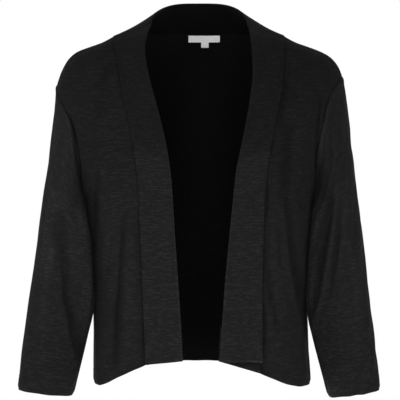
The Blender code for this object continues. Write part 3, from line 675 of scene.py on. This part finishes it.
def jerseyMaterial(name, values, seed):
    made, tree, shader = newMaterial(name)
    place = added(tree, "ShaderNodeUVMap", uv_map="cloth").outputs[0]
    long = placedGroup(tree, slubYarn, place, {**values["longStreaks"], "Seed": seed})
    short = placedGroup(tree, slubYarn, place, {**values["shortStreaks"], "Seed": seed + 7})
    knit = placedGroup(tree, knitLoops, place)
    streak = mathNode(tree, "MULTIPLY", long, values["longShare"])
    streak = mathNode(tree, "MULTIPLY_ADD", short, values["shortShare"], streak)
    colour = mixColour(tree, streak, values["dark"], values["light"])
    paintedShading = added(tree, "ShaderNodeAttribute", attribute_name="paintedShading").outputs["Fac"]
    innerFace = added(tree, "ShaderNodeAttribute", attribute_name="innerFace").outputs["Fac"]
    # painted shade below 0 and painted highlight above 0, scaled into the base colour
    tone = mathNode(tree, "MULTIPLY_ADD", mathNode(tree, "MINIMUM", paintedShading, 0.0), values["deep"], 1.0)
    tone = mathNode(tree, "MULTIPLY_ADD", mathNode(tree, "MAXIMUM", paintedShading, 0.0), values["paintedLightGain"], tone)
    # inner faces painted darker: painted shade inside the garment
    dimmed = mathNode(tree, "MULTIPLY_ADD", innerFace, values["innerShare"] - 1, 1.0)
    dimmed = mathNode(tree, "MULTIPLY", dimmed, tone)
    scaled = added(tree, "ShaderNodeVectorMath", operation="SCALE")
    tree.links.new(colour, scaled.inputs[0])
    tree.links.new(dimmed, scaled.inputs["Scale"])
    height = mathNode(tree, "MULTIPLY", knit, values["knitRelief"])
    height = mathNode(tree, "MULTIPLY_ADD", streak, values["slubRelief"], height)
    finishSurface(tree, shader, scaled.outputs[0], height, 1.0, values)
    return made


jersey = jerseyMaterial("blackSlubJersey", jerseyFinish, 1.0)
bandJersey = jerseyMaterial("blackBandJersey", bandFinish, 4.0)


threadFinish = {
    "dark": (0.0045, 0.0045, 0.0048, 1), "light": (0.012, 0.012, 0.0125, 1),
    "roughness": 0.8, "specular": 0.1, "relief": 0.0001, "twists": 900.0, "distortion": 2.0,
}
whiteFinish = {**threadFinish, "dark": (0.62, 0.62, 0.61, 1), "light": (0.85, 0.85, 0.84, 1)}
satinFinish = {
    "dark": (0.74, 0.74, 0.73, 1), "light": (0.92, 0.92, 0.91, 1),
    "roughness": 0.42, "sheen": 0.3, "relief": 0.00006, "rib": 0.045,
    "warpsPerRib": 1.7, "ribShare": 0.3, "warpShare": 0.2,
}


def threadMaterial(name, values):
    made, tree, shader = newMaterial(name)
    where = added(tree, "ShaderNodeTexCoord").outputs["Object"]
    twist = added(
        tree, "ShaderNodeTexWave",
        {"Scale": values["twists"], "Distortion": values["distortion"], "Vector": where},
        bands_direction="DIAGONAL",
    ).outputs["Fac"]
    colour = mixColour(tree, twist, values["dark"], values["light"])
    finishSurface(tree, shader, colour, twist, values["relief"], values)
    return made


def satinMaterial(name, values):
    # fine woven ribs across, crossed by finer warp threads
    made, tree, shader = newMaterial(name)
    place = added(tree, "ShaderNodeUVMap", uv_map="cloth").outputs[0]
    split = added(tree, "ShaderNodeSeparateXYZ", {0: place}).outputs
    turns = 2 * math.pi / values["rib"]
    ribs = mathNode(tree, "SINE", mathNode(tree, "MULTIPLY", split["Y"], turns))
    warp = mathNode(tree, "SINE", mathNode(tree, "MULTIPLY", split["X"], turns * values["warpsPerRib"]))
    weave = mathNode(tree, "MULTIPLY_ADD", ribs, values["ribShare"], 0.5)
    weave = mathNode(tree, "MULTIPLY_ADD", warp, values["warpShare"], weave)
    colour = mixColour(tree, weave, values["dark"], values["light"])
    finishSurface(tree, shader, colour, weave, values["relief"], values)
    return made


blackThread = threadMaterial("blackThread", threadFinish)
whiteThread = threadMaterial("whiteThread", whiteFinish)
blankSatin = satinMaterial("blankSatin", satinFinish)
print("finishes made")

# Pieces
bodyCloth = {
    "wall": 1.2, "rows": 240, "frontColumns": 84, "backColumns": 62, "neckColumns": 28,
    # hemHighlight: a painted highlight along the hem edge
    "hemDepth": 20.0, "needleGap": 5.5, "hemLayer": 0.9, "hemCurl": 1.6, "hemHighlight": 0.15,
    "seamDip": 0.5, "seamWidth": 1.8, "armholeDip": 1.0, "unevenness": 0.35,
    "bandDip": {"right": (0.3, 0.8), "left": (1.0, 1.2)},     # at the chest and further down
    # bandShade: painted shade on the panel beside the band
    "bandDipPlace": 2.5, "bandDipWidth": 5.0, "bandShade": 0.35, "tuck": 1.4,
    # seamShadow: a painted shadow along the band seam
    "seamShadow": 0.9, "seamShadowWidth": 1.1, "seamShadowSpread": 0.7,
    "besideSleeve": (-385, -350, -185, -145),                 # heights where the sleeve lies against it
    # sideLight: painted light near the side seam, where the sleeve shades the panel
    "sideRise": 2.0, "sideRiseReach": (8, 16), "sideLight": 0.8, "sideLightReach": (22, 13),
}
sleeveCloth = {
    "wall": 1.2, "rows": 200, "columns": 180, "unevenness": 0.5, "capRise": 0.9,
    "besideBody": (0, 8, 155, 188),                           # lengths below the armhole
    # sideLight, lowShade and backLight: painted light beside the seam towards the body, where the body shades
    # the sleeve
    "towardsBody": 3.2, "towardsBodyReach": (18, 22), "sideLight": 1.2, "sideLightReach": (12, 26),
    "lowShade": {"right": 1.0, "left": 0.65}, "lowShadeFrom": (185, 240), "backLight": 0.25,
    # valleyLight: painted light in the valley below the armhole
    "valley": (4, 12, 55, 100), "valleyLight": 0.6, "valleyReach": (35, 18),
}
bandCloth = {
    "wall": 2.4, "rows": 330, "columns": 30, "allowance": 5.5, "allowanceRise": 0.35,
    "unevenness": 0.22, "cornerHeight": 18.0, "cornerWidth": 12.0, "cornerLift": 2.5,
    # endLight: a painted highlight on the left band's bottom end
    "endLight": 0.2, "leftEnd": -452.5, "neckDrop": 0.6, "stitchHeight": 5.0,
    "collarRise": 0.04, "edgeIn": {"right": 0.0, "left": 0.028},
}
madePieces = {}
outerSurfaces = {}


def bodySteps(rows):
    upper = np.linspace(0, underarm, rows // 2, endpoint=False)
    return np.concatenate([upper, np.linspace(underarm, hem, rows - rows // 2)])


def hemRelief(fromHem, values):
    rows = values["hemDepth"], values["hemDepth"] - values["needleGap"]
    grooves = sum(bump(fromHem - row, 0.9) for row in rows)
    puffed = 0.2 * (1 - step(fromHem, values["hemDepth"] - 1, values["hemDepth"] + 1))
    return puffed - 0.25 * grooves - values["hemCurl"] * (1 - step(fromHem, 0, 6))


def hemLayer(fromHem, values):
    layer = values["hemLayer"] * (1 - step(fromHem, values["hemDepth"] + 0.5, values["hemDepth"] + 2))
    return layer + values["hemCurl"] * (1 - step(fromHem, 0, 6))


def seamDips(values, *distances):
    return -values["seamDip"] * sum(bump(d, values["seamWidth"]) for d in distances)


def foldShading(folds, grid):
    # painted shade in the troughs and painted highlight on the rolls, up to a share that they soon reach
    height = foldHeight(folds, grid[..., 0], grid[..., 2])
    return np.where(height < 0, 0.75, 0.4) * np.tanh(height / 3)


# Painted light and shade by height: how much paler or, below 0, darker the cloth is painted, as (z, value)
# pairs from the top down
shadingByHeight = {
    "front_right": ((30, -0.38), (-60, -0.36), (-150, -0.43), (-200, -0.18), (-300, -0.06), (-520, -0.05)),
    "front_left": ((30, -0.6), (-60, -0.66), (-190, -0.52), (-250, -0.18), (-520, -0.05)),
    "band_right": ((40, -0.72), (-100, -0.7), (-148, -0.62), (-162, -0.12), (-300, 0.0), (-520, 0.05)),
    "band_left": ((40, -0.7), (-100, -0.73), (-148, -0.66), (-162, -0.12), (-300, -0.02), (-520, 0.05)),
    "sleeve_right": ((-40, 0.06), (-110, 0.18), (-300, 0.15), (-350, -0.08), (-460, -0.04), (-520, 0.06)),
    "sleeve_left": ((-40, -0.06), (-240, 0.0), (-300, -0.08), (-450, -0.1), (-520, 0.04)),
    # painted shade on the inner face of the back, darkest at the neck and the hem
    "back_inside": (
        (30, -0.9), (-60, -0.6), (-200, -0.15), (-260, 0.06), (-390, 0.1), (-430, -0.1), (-490, -0.8),
    ),
    "back": ((30, -0.44), (-60, -0.34), (-170, -0.15), (-520, -0.08)),
}


def heightShading(name, grid):
    heights, values = np.array(shadingByHeight[name])[::-1].T
    return np.interp(grid[..., 2], heights, values)


def makeFront(side):
    values = bodyCloth
    t, u = np.meshgrid(bodySteps(values["rows"]), np.linspace(0, 1, values["frontColumns"]), indexing="ij")
    # below the neck the edge is tucked under the band, so that nothing shows through the seam
    tuck = values["tuck"] * step(t[:, :1], 1, 3)
    grid = pulledIn(frontPoint(side, t, u), first=0.4, last=values["wall"] / 2, left=0.4 - tuck, right=0.4)
    across, down = lengthAlong(grid, 1) - tuck, lengthAlong(grid, 0)
    fromBand, fromSide = np.maximum(across, 0), across[:, -1:] - across
    fromShoulder, fromHem = down, down[-1:] - down
    place = np.stack([across + 90, grid[..., 2]], axis=-1)
    relief = seamDips(values, fromBand, fromSide, fromShoulder) + hemRelief(fromHem, values)
    quiet = step(fromSide, 0, 30) * step(fromShoulder, 0, 40)
    relief += quiet * ripples(across, down, 11 if side == "right" else 12, values["unevenness"])
    inside = stacked(0, 0, grid[..., 2])
    upperDip, lowerDip = values["bandDip"][side]
    dip = (upperDip + (lowerDip - upperDip) * step(t, 5, 9)) * within(t, 1.5, 4, 13.6, 14)
    relief -= dip * bump(fromBand - values["bandDipPlace"], values["bandDipWidth"])
    relief -= values["armholeDip"] * within(t, 0.5, 2.5, 7, 8.5) * bump(fromSide - 3, 4)
    besideSleeve = within(grid[..., 2], *values["besideSleeve"]) * step(fromSide, 0, 6)
    relief += values["sideRise"] * besideSleeve * nearerThan(fromSide, values["sideRiseReach"])
    # painted shade and highlight from the folds, a painted highlight at the hem edge and painted shade by
    # height
    paintedShading = foldShading(frontFolds, grid) + values["hemHighlight"] * bump(fromHem, 1.2)
    paintedShading += heightShading("front_" + side, grid)
    # a painted shadow along the band seam
    lineWidth = values["seamShadowWidth"] + values["seamShadowSpread"] * step(t, 7, 9)
    paintedShading -= values["seamShadow"] * step(t, 0.5, 1.5) * bump(fromBand, lineWidth)
    # painted shade on the panel beside the lower band
    paintedShading -= values["bandShade"] * step(t, 7, 9) * bump(fromBand - 3, 6)
    # painted light near the side seam, where the sleeve shades the panel
    paintedShading += values["sideLight"] * step(t, 5.5, 8) * nearerThan(fromSide, values["sideLightReach"])
    piece, outer, normals = clothShell(
        "jersey_front_" + side, grid, place, inside, values["wall"], relief, hemLayer(fromHem, values),
        paintedShading, jersey,
    )
    finishPiece(piece, "front_" + side, outer, normals, fromHem)


def finishPiece(piece, node, outer, normals, fromHem):
    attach(piece, "root")
    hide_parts(node)
    madePieces[node] = piece
    outerSurfaces[node] = (outer, normals, fromHem)


def makeBack():
    values = bodyCloth
    half = np.concatenate([
        np.linspace(0, 1, values["neckColumns"], endpoint=False),
        1 + np.linspace(0, 1, values["backColumns"]),
    ])
    t, u = np.meshgrid(bodySteps(values["rows"]), half, indexing="ij")
    grid = np.concatenate([backPoint("right", t, u)[:, ::-1], backPoint("left", t, u)[:, 1:]], axis=1)
    grid = pulledIn(grid, first=0.3, last=values["wall"] / 2, left=0.2, right=0.2)
    across, down = lengthAlong(grid, 1), lengthAlong(grid, 0)
    fromRight, fromLeft = across, across[:, -1:] - across
    fromTop, fromHem = down, down[-1:] - down
    middle = across[:, across.shape[1] // 2][:, None]
    place = np.stack([across - middle, grid[..., 2]], axis=-1)
    relief = seamDips(values, fromRight, fromLeft, fromTop) + hemRelief(fromHem, values)
    quiet = step(fromRight, 0, 30) * step(fromLeft, 0, 30) * step(fromTop, 0, 40)
    relief += quiet * ripples(across - middle, down, 13, values["unevenness"])
    inside = stacked(0, 0, grid[..., 2])
    # painted shade and highlight from the folds and by height, and painted shade on the inner face
    paintedShading = foldShading(backFolds, grid) + heightShading("back", grid)
    piece, outer, normals = clothShell(
        "jersey_back", grid, place, inside, values["wall"], relief, hemLayer(fromHem, values),
        paintedShading, jersey, innerShading=heightShading("back_inside", grid),
    )
    finishPiece(piece, "back", outer, normals, fromHem)


def makeSleeve(side):
    values = sleeveCloth
    s, around = np.meshgrid(
        np.linspace(0, cuff, values["rows"]), 0.5 + np.linspace(0, 1, values["columns"]), indexing="ij"
    )
    around[:, -1] = 1.5 - 1e-9
    grid = sleevePoint(side, s, around)
    grid = pulledIn(grid, first=0.1, last=values["wall"] / 2, left=0.4, right=0.4)
    across, down = lengthAlong(grid, 1), lengthAlong(grid, 0)
    fromSeam = np.minimum(across, across[:, -1:] - across)
    fromArmhole, fromHem = down, down[-1:] - down
    middle = across[:, across.shape[1] // 2][:, None]
    length = down.mean(axis=1)[:, None] * np.ones_like(down)
    place = np.stack([across - middle, -length], axis=-1)
    relief = seamDips(bodyCloth, fromSeam, fromArmhole) + hemRelief(fromHem, bodyCloth)
    relief += values["capRise"] * bump(fromArmhole - 4, 5)
    besideBody = within(fromArmhole, *values["besideBody"])
    relief += values["towardsBody"] * besideBody * nearerThan(fromSeam, values["towardsBodyReach"])
    facingFront = around % 1.0 < 0.5
    # painted shade and highlight from the folds, a painted highlight at the hem edge and painted light by
    # height
    paintedShading = np.where(facingFront, foldShading(frontFolds, grid), foldShading(backFolds, grid))
    paintedShading += bodyCloth["hemHighlight"] * bump(fromHem, 1.2) + heightShading("sleeve_" + side, grid)
    # painted light beside the seam towards the body, less lower down and on the back
    light = values["sideLight"] - values["lowShade"][side] * step(fromArmhole, *values["lowShadeFrom"])
    light *= np.where(facingFront, 1.0, values["backLight"]) * step(fromArmhole, 10, 60)
    paintedShading += light * nearerThan(fromSeam, values["sideLightReach"])
    # painted light in the valley below the armhole
    inValley = within(fromArmhole, *values["valley"])
    paintedShading += values["valleyLight"] * inValley * nearerThan(fromSeam, values["valleyReach"])
    quiet = step(fromArmhole, 0, 40) * step(fromSeam, 0, 12)
    relief += quiet * ripples(across, down, 21 if side == "right" else 22, values["unevenness"])
    inside = grid.mean(axis=1, keepdims=True) * np.ones_like(grid)
    piece, outer, normals = clothShell(
        "jersey_sleeve_" + side, grid, place, inside, values["wall"], relief, hemLayer(fromHem, bodyCloth),
        paintedShading, jersey,
    )
    finishPiece(piece, "sleeve_" + side, outer, normals, fromHem)


def makeBand(side):
    values = bandCloth
    steps = np.concatenate([
        np.linspace(-1, 0, values["rows"] // 4, endpoint=False),
        bodySteps(values["rows"] - values["rows"] // 4),
    ])
    t, across = np.meshgrid(steps, np.linspace(0, 1, values["columns"]), indexing="ij")
    reach = 1 + values["collarRise"] * (1 - step(t, -0.5, 1))
    reach -= values["edgeIn"][side] * step(t, 1, 3)
    grid = bandPoint(side, t, across * reach)
    if side == "left":
        shorter = np.maximum(grid[-1, :, 2], values["leftEnd"]) - grid[-1, :, 2]
        grid[..., 2] += shorter * np.maximum(t - hem + 1, 0)
    half = values["wall"] / 2
    grid = pulledIn(grid, first=0.05, last=half, left=0.6, right=half)
    width, down = lengthAlong(grid, 1), lengthAlong(grid, 0)
    fromSeam, fromEdge = width, width[:, -1:] - width
    fromEnd, fromNeck = down[-1:] - down, down
    place = np.stack([width + 30, grid[..., 2]], axis=-1)
    # painted shade by height, and painted highlights along the free edge and the bottom end
    paintedShading = heightShading("band_" + side, grid) + 0.12 * bump(fromEdge, 1.0) + 0.1 * bump(fromEnd, 1.0)
    ridgeEnd = values["allowance"] - 0.8, values["allowance"] + 0.8
    relief = values["allowanceRise"] * (1 - step(fromSeam, *ridgeEnd))
    relief -= 0.3 * bump(fromSeam, 0.9) + values["neckDrop"] * bump(fromSeam, 7) * (1 - step(t, 1, 3))
    if side == "left":
        # a painted highlight on the bottom end
        paintedShading += values["endLight"] * bump(fromEnd, 1.6)
        curled = 1 - step(fromEnd, 0, values["cornerHeight"])
        relief += values["cornerLift"] * curled * (1 - step(fromSeam, 0, values["cornerWidth"]))
    relief += 0.15 * bump(fromEdge - 2.5, 2.0) - 0.2 * bump(fromEnd - values["stitchHeight"], 0.9)
    quiet = step(fromNeck, 0, 30)
    seed = 31 if side == "right" else 32
    relief += quiet * ripples(width, down, seed, values["unevenness"], (60, 90), (90, 220))
    inside = stacked(0, 0, grid[..., 2])
    # the rim at the neck joint takes the inner face's painted shade
    piece, outer, normals = clothShell(
        "jersey_band_" + side, grid, place, inside, values["wall"], relief, np.zeros_like(relief),
        paintedShading, bandJersey, darkRim=1 - step(fromNeck, 0.5, 1.5),
    )
    finishPiece(piece, "band_" + side, outer, normals, fromEnd)


for side in sideSign:
    makeFront(side)
    makeSleeve(side)
    makeBand(side)
makeBack()
print("cloth pieces made")


# Inner layer of the left band, label and size tab
innerLayer = {
    "wall": 1.2, "rows": 70, "columns": 40, "top": 12.7, "seamZ": -469.5, "edgeZ": -450.5,
    # shade and shadeHeight: a painted shadow under the band's end
    "behind": 2.3, "inset": 0.8, "wave": 0.5, "waveWidth": 60, "shade": 1.0, "shadeHeight": -455,
}
tags = {   # left, right, top and bottom as seen from the front
    "wall": 0.32, "clearance": 0.5, "turn": 0.6,
    "label": (-16.0, 31.5, 27.5, 17.8), "foldedUnder": 5.0,
    "sizeTab": (3.4, 14.6, 18.6, 9.8), "tabBulge": 0.5, "tabStart": 0.45, "stitchColumn": 24,
}


def makeInnerLayer():
    values = innerLayer
    down, across = np.meshgrid(
        np.linspace(0, 1, values["rows"]), np.linspace(0, 1, values["columns"]), indexing="ij"
    )
    grid = bandPoint("left", values["top"] + (hem - values["top"]) * down, across)
    topZ = bandPoint("left", np.full_like(across, values["top"]), across)[..., 2]
    grid[..., 2] = topZ + (values["seamZ"] + (values["edgeZ"] - values["seamZ"]) * across - topZ) * down
    grid[..., 1] += values["behind"]
    grid = pulledIn(grid, last=values["wall"] / 2, left=values["inset"], right=values["inset"])
    width, length = lengthAlong(grid, 1), lengthAlong(grid, 0)
    fromHem = length[-1:] - length
    waves = values["wave"] * down * np.sin(width / values["waveWidth"] * 2 * math.pi) ** 2
    relief = hemRelief(fromHem, bodyCloth) * 0.5 - waves
    # a painted shadow under the band's end
    paintedShading = -values["shade"] * bump(grid[..., 2] - values["shadeHeight"], 5)
    piece, outer, normals = clothShell(
        "jersey_inner_layer", grid, np.stack([width + 30, grid[..., 2]], axis=-1),
        stacked(0, 0, grid[..., 2]), values["wall"], relief, -relief, paintedShading, bandJersey,
    )
    finishPiece(piece, "band_left_inner", outer, normals, fromHem)


def insideOfBack(x, z, tree):
    backwards = Vector((0, 1, 0))
    starts = [Vector((a * mm, 0, b * mm)) for a, b in zip(x.flat, z.flat)]
    return np.array([tree.ray_cast(start, backwards)[0].y / mm for start in starts]).reshape(x.shape)


def satinPiece(name, node, grid, place, inside):
    plain = np.zeros(grid.shape[:2])
    piece, outer, normals = clothShell(
        name, grid, place, inside, tags["wall"], plain, plain, plain, blankSatin
    )
    finishPiece(piece, node, outer, normals, plain)
    return outer, normals


def makeLabel(tree):
    # a strip whose ends are folded under: its path runs along and stands off the cloth
    left, right, top, bottom = tags["label"]
    low, turn, under = tags["clearance"], tags["turn"], tags["foldedUnder"]
    angle = np.linspace(0, math.pi, 10)
    along = np.concatenate([np.linspace(under, turn, 12)[:-1], turn - turn * np.sin(angle)])
    off = np.concatenate([np.full(11, low), low + turn * (1 - np.cos(angle))])
    middle = np.linspace(turn, right - left - turn, 62)[1:-1]
    along = np.concatenate([along, middle, right - left - along[::-1]])
    off = np.concatenate([off, np.full_like(middle, low + 2 * turn), off[::-1]])
    z, x = np.meshgrid(np.linspace(top, bottom, 15), left + along, indexing="ij")
    base = insideOfBack(x, z, tree)
    soft = 0.12 * np.sin((x - left) / 9.0) + 0.1 * np.sin((z - top) / 4.0 + x / 14)
    grid = stacked(x, base - off - soft * (off > low + turn), z)
    inside = stacked(x, base - low - turn, z)
    place = np.stack([lengthAlong(grid, 1), z], axis=-1)
    return satinPiece("satin_label", "label", grid, place, inside)


def makeSizeTab(tree):
    # a short tape, doubled, with its fold at the bottom
    left, right, top, bottom = tags["sizeTab"]
    low, turn = tags["clearance"], tags["turn"]
    angle = np.linspace(0, math.pi, 10)
    fall = np.linspace(0, 1, 16)[:-1]
    start = tags["tabStart"]
    front = low + start + (2 * turn - start) * fall + tags["tabBulge"] * np.sin(math.pi * fall)
    z = np.concatenate([top + (bottom + turn - top) * fall, bottom + turn - turn * np.sin(angle)])
    off = np.concatenate([front, low + turn * (1 + np.cos(angle))])
    z, off = np.append(z, np.linspace(bottom + turn, top, 14)[1:]), np.append(off, np.full(13, low))
    z, x = np.meshgrid(z, np.linspace(left, right, 22), indexing="ij")
    base = insideOfBack(x, z, tree)
    grid = stacked(x, base - off[:, None], z)
    inside = stacked(x, base - low - turn / 2, z)
    place = np.stack([x, lengthAlong(grid, 0)], axis=-1)
    satinPiece("satin_size_tab", "size_tab", grid, place, inside)


makeInnerLayer()
backMesh = madePieces["back"].data
backTree = BVHTree.FromPolygons([v.co for v in backMesh.vertices], [p.vertices[:] for p in backMesh.polygons])
labelOuter, labelNormals = makeLabel(backTree)
makeSizeTab(backTree)
print("label, tab and inner layer made")


# Stitches
stitch = {"pitch": 3.2, "length": 2.5, "thread": 0.26, "lift": 0.08, "labelPitch": 1.9, "labelLength": 1.4}


def makeStitchTree():
    tree = bpy.data.node_groups.new("stitchRow", "GeometryNodeTree")
    kinds = {
        "Geometry": "Geometry", "Pitch": "Float", "Length": "Float",
        "Thread": "Float", "Material": "Material",
    }
    for label, kind in kinds.items():
        tree.interface.new_socket(name=label, in_out="INPUT", socket_type="NodeSocket" + kind)
    tree.interface.new_socket(name="Geometry", in_out="OUTPUT", socket_type="NodeSocketGeometry")
    given, end = tree.nodes.new("NodeGroupInput").outputs, tree.nodes.new("NodeGroupOutput")
    path = added(tree, "GeometryNodeMeshToCurve", {0: given["Geometry"]}).outputs[0]
    even = added(tree, "GeometryNodeResampleCurve", {"Curve": path, "Length": given["Pitch"]}, mode="LENGTH")
    bead = added(tree, "GeometryNodeMeshUVSphere", {"Segments": 8, "Rings": 6, "Radius": 0.5})
    tangent = added(tree, "GeometryNodeInputTangent")
    outward = added(tree, "GeometryNodeInputNamedAttribute", {"Name": "outward"}, data_type="FLOAT_VECTOR")
    along = added(tree, "FunctionNodeAlignRotationToVector", {"Vector": tangent.outputs[0]}, axis="X")
    upright = added(
        tree, "FunctionNodeAlignRotationToVector",
        {"Rotation": along.outputs[0], "Vector": outward.outputs["Attribute"]}, axis="Z", pivot_axis="X",
    )
    thread = given["Thread"]
    size = added(tree, "ShaderNodeCombineXYZ", {"X": given["Length"], "Y": thread, "Z": thread})
    placed = added(tree, "GeometryNodeInstanceOnPoints", {
        "Points": even.outputs[0], "Instance": bead.outputs["Mesh"],
        "Rotation": upright.outputs[0], "Scale": size.outputs[0],
    })
    real = added(tree, "GeometryNodeRealizeInstances", {0: placed.outputs[0]}).outputs[0]
    painted = added(tree, "GeometryNodeSetMaterial", {"Geometry": real, "Material": given["Material"]})
    tree.links.new(painted.outputs[0], end.inputs[0])
    return tree


def makeStitches(name, rows, tree, pitch, length, thread, slot):
    # rows: for each, its points in mm and the directions that face out of the cloth
    points = np.concatenate([line + stitch["lift"] * facing for line, facing in rows]) * mm
    directions = np.concatenate([facing for _, facing in rows])
    edges, first = [], 0
    for line, _ in rows:
        edges += [(first + i, first + i + 1) for i in range(len(line) - 1)]
        first += len(line)
    mesh = bpy.data.meshes.new(name + "Rows")
    mesh.from_pydata(points, edges, [])
    outward = mesh.attributes.new("outward", "FLOAT_VECTOR", "POINT")
    outward.data.foreach_set("vector", directions.astype(np.float32).ravel())
    guide = bpy.data.objects.new(name + "Rows", mesh)
    bpy.context.scene.collection.objects.link(guide)
    modifier = guide.modifiers.new("stitches", "NODES")
    modifier.node_group = tree
    values = {
        "Pitch": pitch * mm, "Length": length * mm, "Thread": 2 * stitch["thread"] * mm, "Material": thread,
    }
    for item in tree.interface.items_tree:
        if item.in_out == "INPUT" and item.name in values:
            modifier[item.identifier] = values[item.name]
    guide.update_tag()
    evaluated = guide.evaluated_get(bpy.context.evaluated_depsgraph_get())
    made = bpy.data.meshes.new_from_object(evaluated)
    made.name = name
    made.shade_smooth()
    bpy.data.objects.remove(guide)
    piece = bpy.data.objects.new(name, made)
    bpy.context.scene.collection.objects.link(piece)
    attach(piece, "root")


def rowAt(node, distance):
    # the line on a piece's outer face that lies this far above its hem
    outer, normals, fromHem = outerSurfaces[node]
    line, facing = [], []
    for c in range(outer.shape[1]):
        heights = fromHem[::-1, c]
        line.append([np.interp(distance, heights, outer[::-1, c, k]) for k in range(3)])
        facing.append([np.interp(distance, heights, normals[::-1, c, k]) for k in range(3)])
    facing = np.array(facing)
    return np.array(line), facing / np.linalg.norm(facing, axis=1, keepdims=True)


stitchTree = makeStitchTree()
hemRows = [
    rowAt(node, distance)
    for node in ("front_right", "front_left", "back", "sleeve_right", "sleeve_left")
    for distance in (bodyCloth["hemDepth"], bodyCloth["hemDepth"] - bodyCloth["needleGap"])
]
bandRows = [rowAt("band_" + side, bandCloth["stitchHeight"]) for side in sideSign]
labelRows = [
    (labelOuter[1:-1, column], labelNormals[1:-1, column])
    for column in (tags["stitchColumn"], -1 - tags["stitchColumn"])
]
usualSize = stitch["pitch"], stitch["length"]
labelSize = stitch["labelPitch"], stitch["labelLength"]
makeStitches("hem_stitches", hemRows, stitchTree, *usualSize, blackThread, "jersey")
makeStitches("band_stitches", bandRows, stitchTree, *usualSize, blackThread, "band_jersey")
makeStitches("label_stitches", labelRows, stitchTree, *labelSize, whiteThread, "label_satin")
print("stitches made")


# Light and floor
studio = {
    "floorHeight": -1.35, "floorRadius": 6.0, "floorTone": 0.86, "paleFrom": (1.5, 5.2),
    "behind": 0.7, "aim": (0.0, 0.0, -0.22),
}
lamps = {   # place in metres, width and height in metres, watts
    "front": ((0.0, -3.0, -0.48), (1.6, 1.6), 54),
    "frontLeft": ((-2.11, -2.11, -0.48), (1.6, 1.6), 32),
    "frontRight": ((2.11, -2.11, -0.48), (1.6, 1.6), 48),
    "highLeft": ((-1.74, -1.74, 1.5), (1.6, 1.6), 7),
    "sideLeft": ((-2.94, -0.52, -0.48), (1.6, 1.6), 30),
    "sideRight": ((2.94, -0.52, -0.48), (1.6, 1.6), 10),
    "back": ((0.0, 3.0, -0.6), (1.8, 1.6), 36),
}


def makeLamps():
    for name, (place, size, power) in lamps.items():
        lamp = bpy.data.lights.new(name, "AREA")
        lamp.shape, lamp.size, lamp.size_y, lamp.energy = "RECTANGLE", *size, power
        holder = bpy.data.objects.new(name, lamp)
        holder.location = place
        holder.rotation_euler = (Vector(studio["aim"]) - Vector(place)).to_track_quat("-Z", "Y").to_euler()
        holder.visible_camera = False
        bpy.context.scene.collection.objects.link(holder)


def makeWorld():
    world = bpy.data.worlds.new("paleStudio")
    world.use_nodes = True
    tree = world.node_tree
    tree.nodes.clear()
    white = (1, 1, 1, 1)
    where = added(tree, "ShaderNodeTexCoord").outputs["Generated"]
    away = added(tree, "ShaderNodeSeparateXYZ", {0: where}).outputs["Y"]
    fromBehind = mathNode(tree, "MULTIPLY", mathNode(tree, "MAXIMUM", away, 0.0), studio["behind"])
    cast = added(tree, "ShaderNodeBackground", {"Color": white, "Strength": fromBehind}).outputs[0]
    seen = added(tree, "ShaderNodeBackground", {"Color": white}).outputs[0]
    isSeen = added(tree, "ShaderNodeLightPath").outputs["Is Camera Ray"]
    mix = added(tree, "ShaderNodeMixShader", {"Fac": isSeen, 1: cast, 2: seen})
    added(tree, "ShaderNodeOutputWorld", {"Surface": mix.outputs[0]})
    bpy.context.scene.world = world


def makeFloor():
    shape = bmesh.new()
    bmesh.ops.create_circle(shape, cap_ends=True, segments=96, radius=studio["floorRadius"])
    bmesh.ops.translate(shape, verts=shape.verts, vec=(0, 0, studio["floorHeight"]))
    mesh = bpy.data.meshes.new("paleFloor")
    shape.to_mesh(mesh)
    shape.free()
    floor = bpy.data.objects.new("paleFloor", mesh)
    bpy.context.scene.collection.objects.link(floor)
    made = bpy.data.materials.new("paleFloor")
    made.use_nodes = True
    tree = made.node_tree
    tree.nodes.remove(tree.nodes["Principled BSDF"])
    where = added(tree, "ShaderNodeTexCoord").outputs["Object"]
    size = added(tree, "ShaderNodeVectorMath", {0: where}, operation="LENGTH").outputs["Value"]
    near, far = studio["paleFrom"]
    tone = added(
        tree, "ShaderNodeMapRange",
        {"Value": size, "From Min": near, "From Max": far, "To Min": studio["floorTone"], "To Max": 1.0},
        interpolation_type="SMOOTHSTEP",
    ).outputs[0]
    glow = added(tree, "ShaderNodeEmission", {"Color": tone}).outputs[0]
    tree.links.new(glow, tree.nodes["Material Output"].inputs["Surface"])
    mesh.materials.append(made)
    floor.visible_diffuse = False
    floor.visible_glossy = False


makeLamps()
makeWorld()
makeFloor()
bpy.context.scene.view_settings.view_transform = "Standard"
print("studio made")
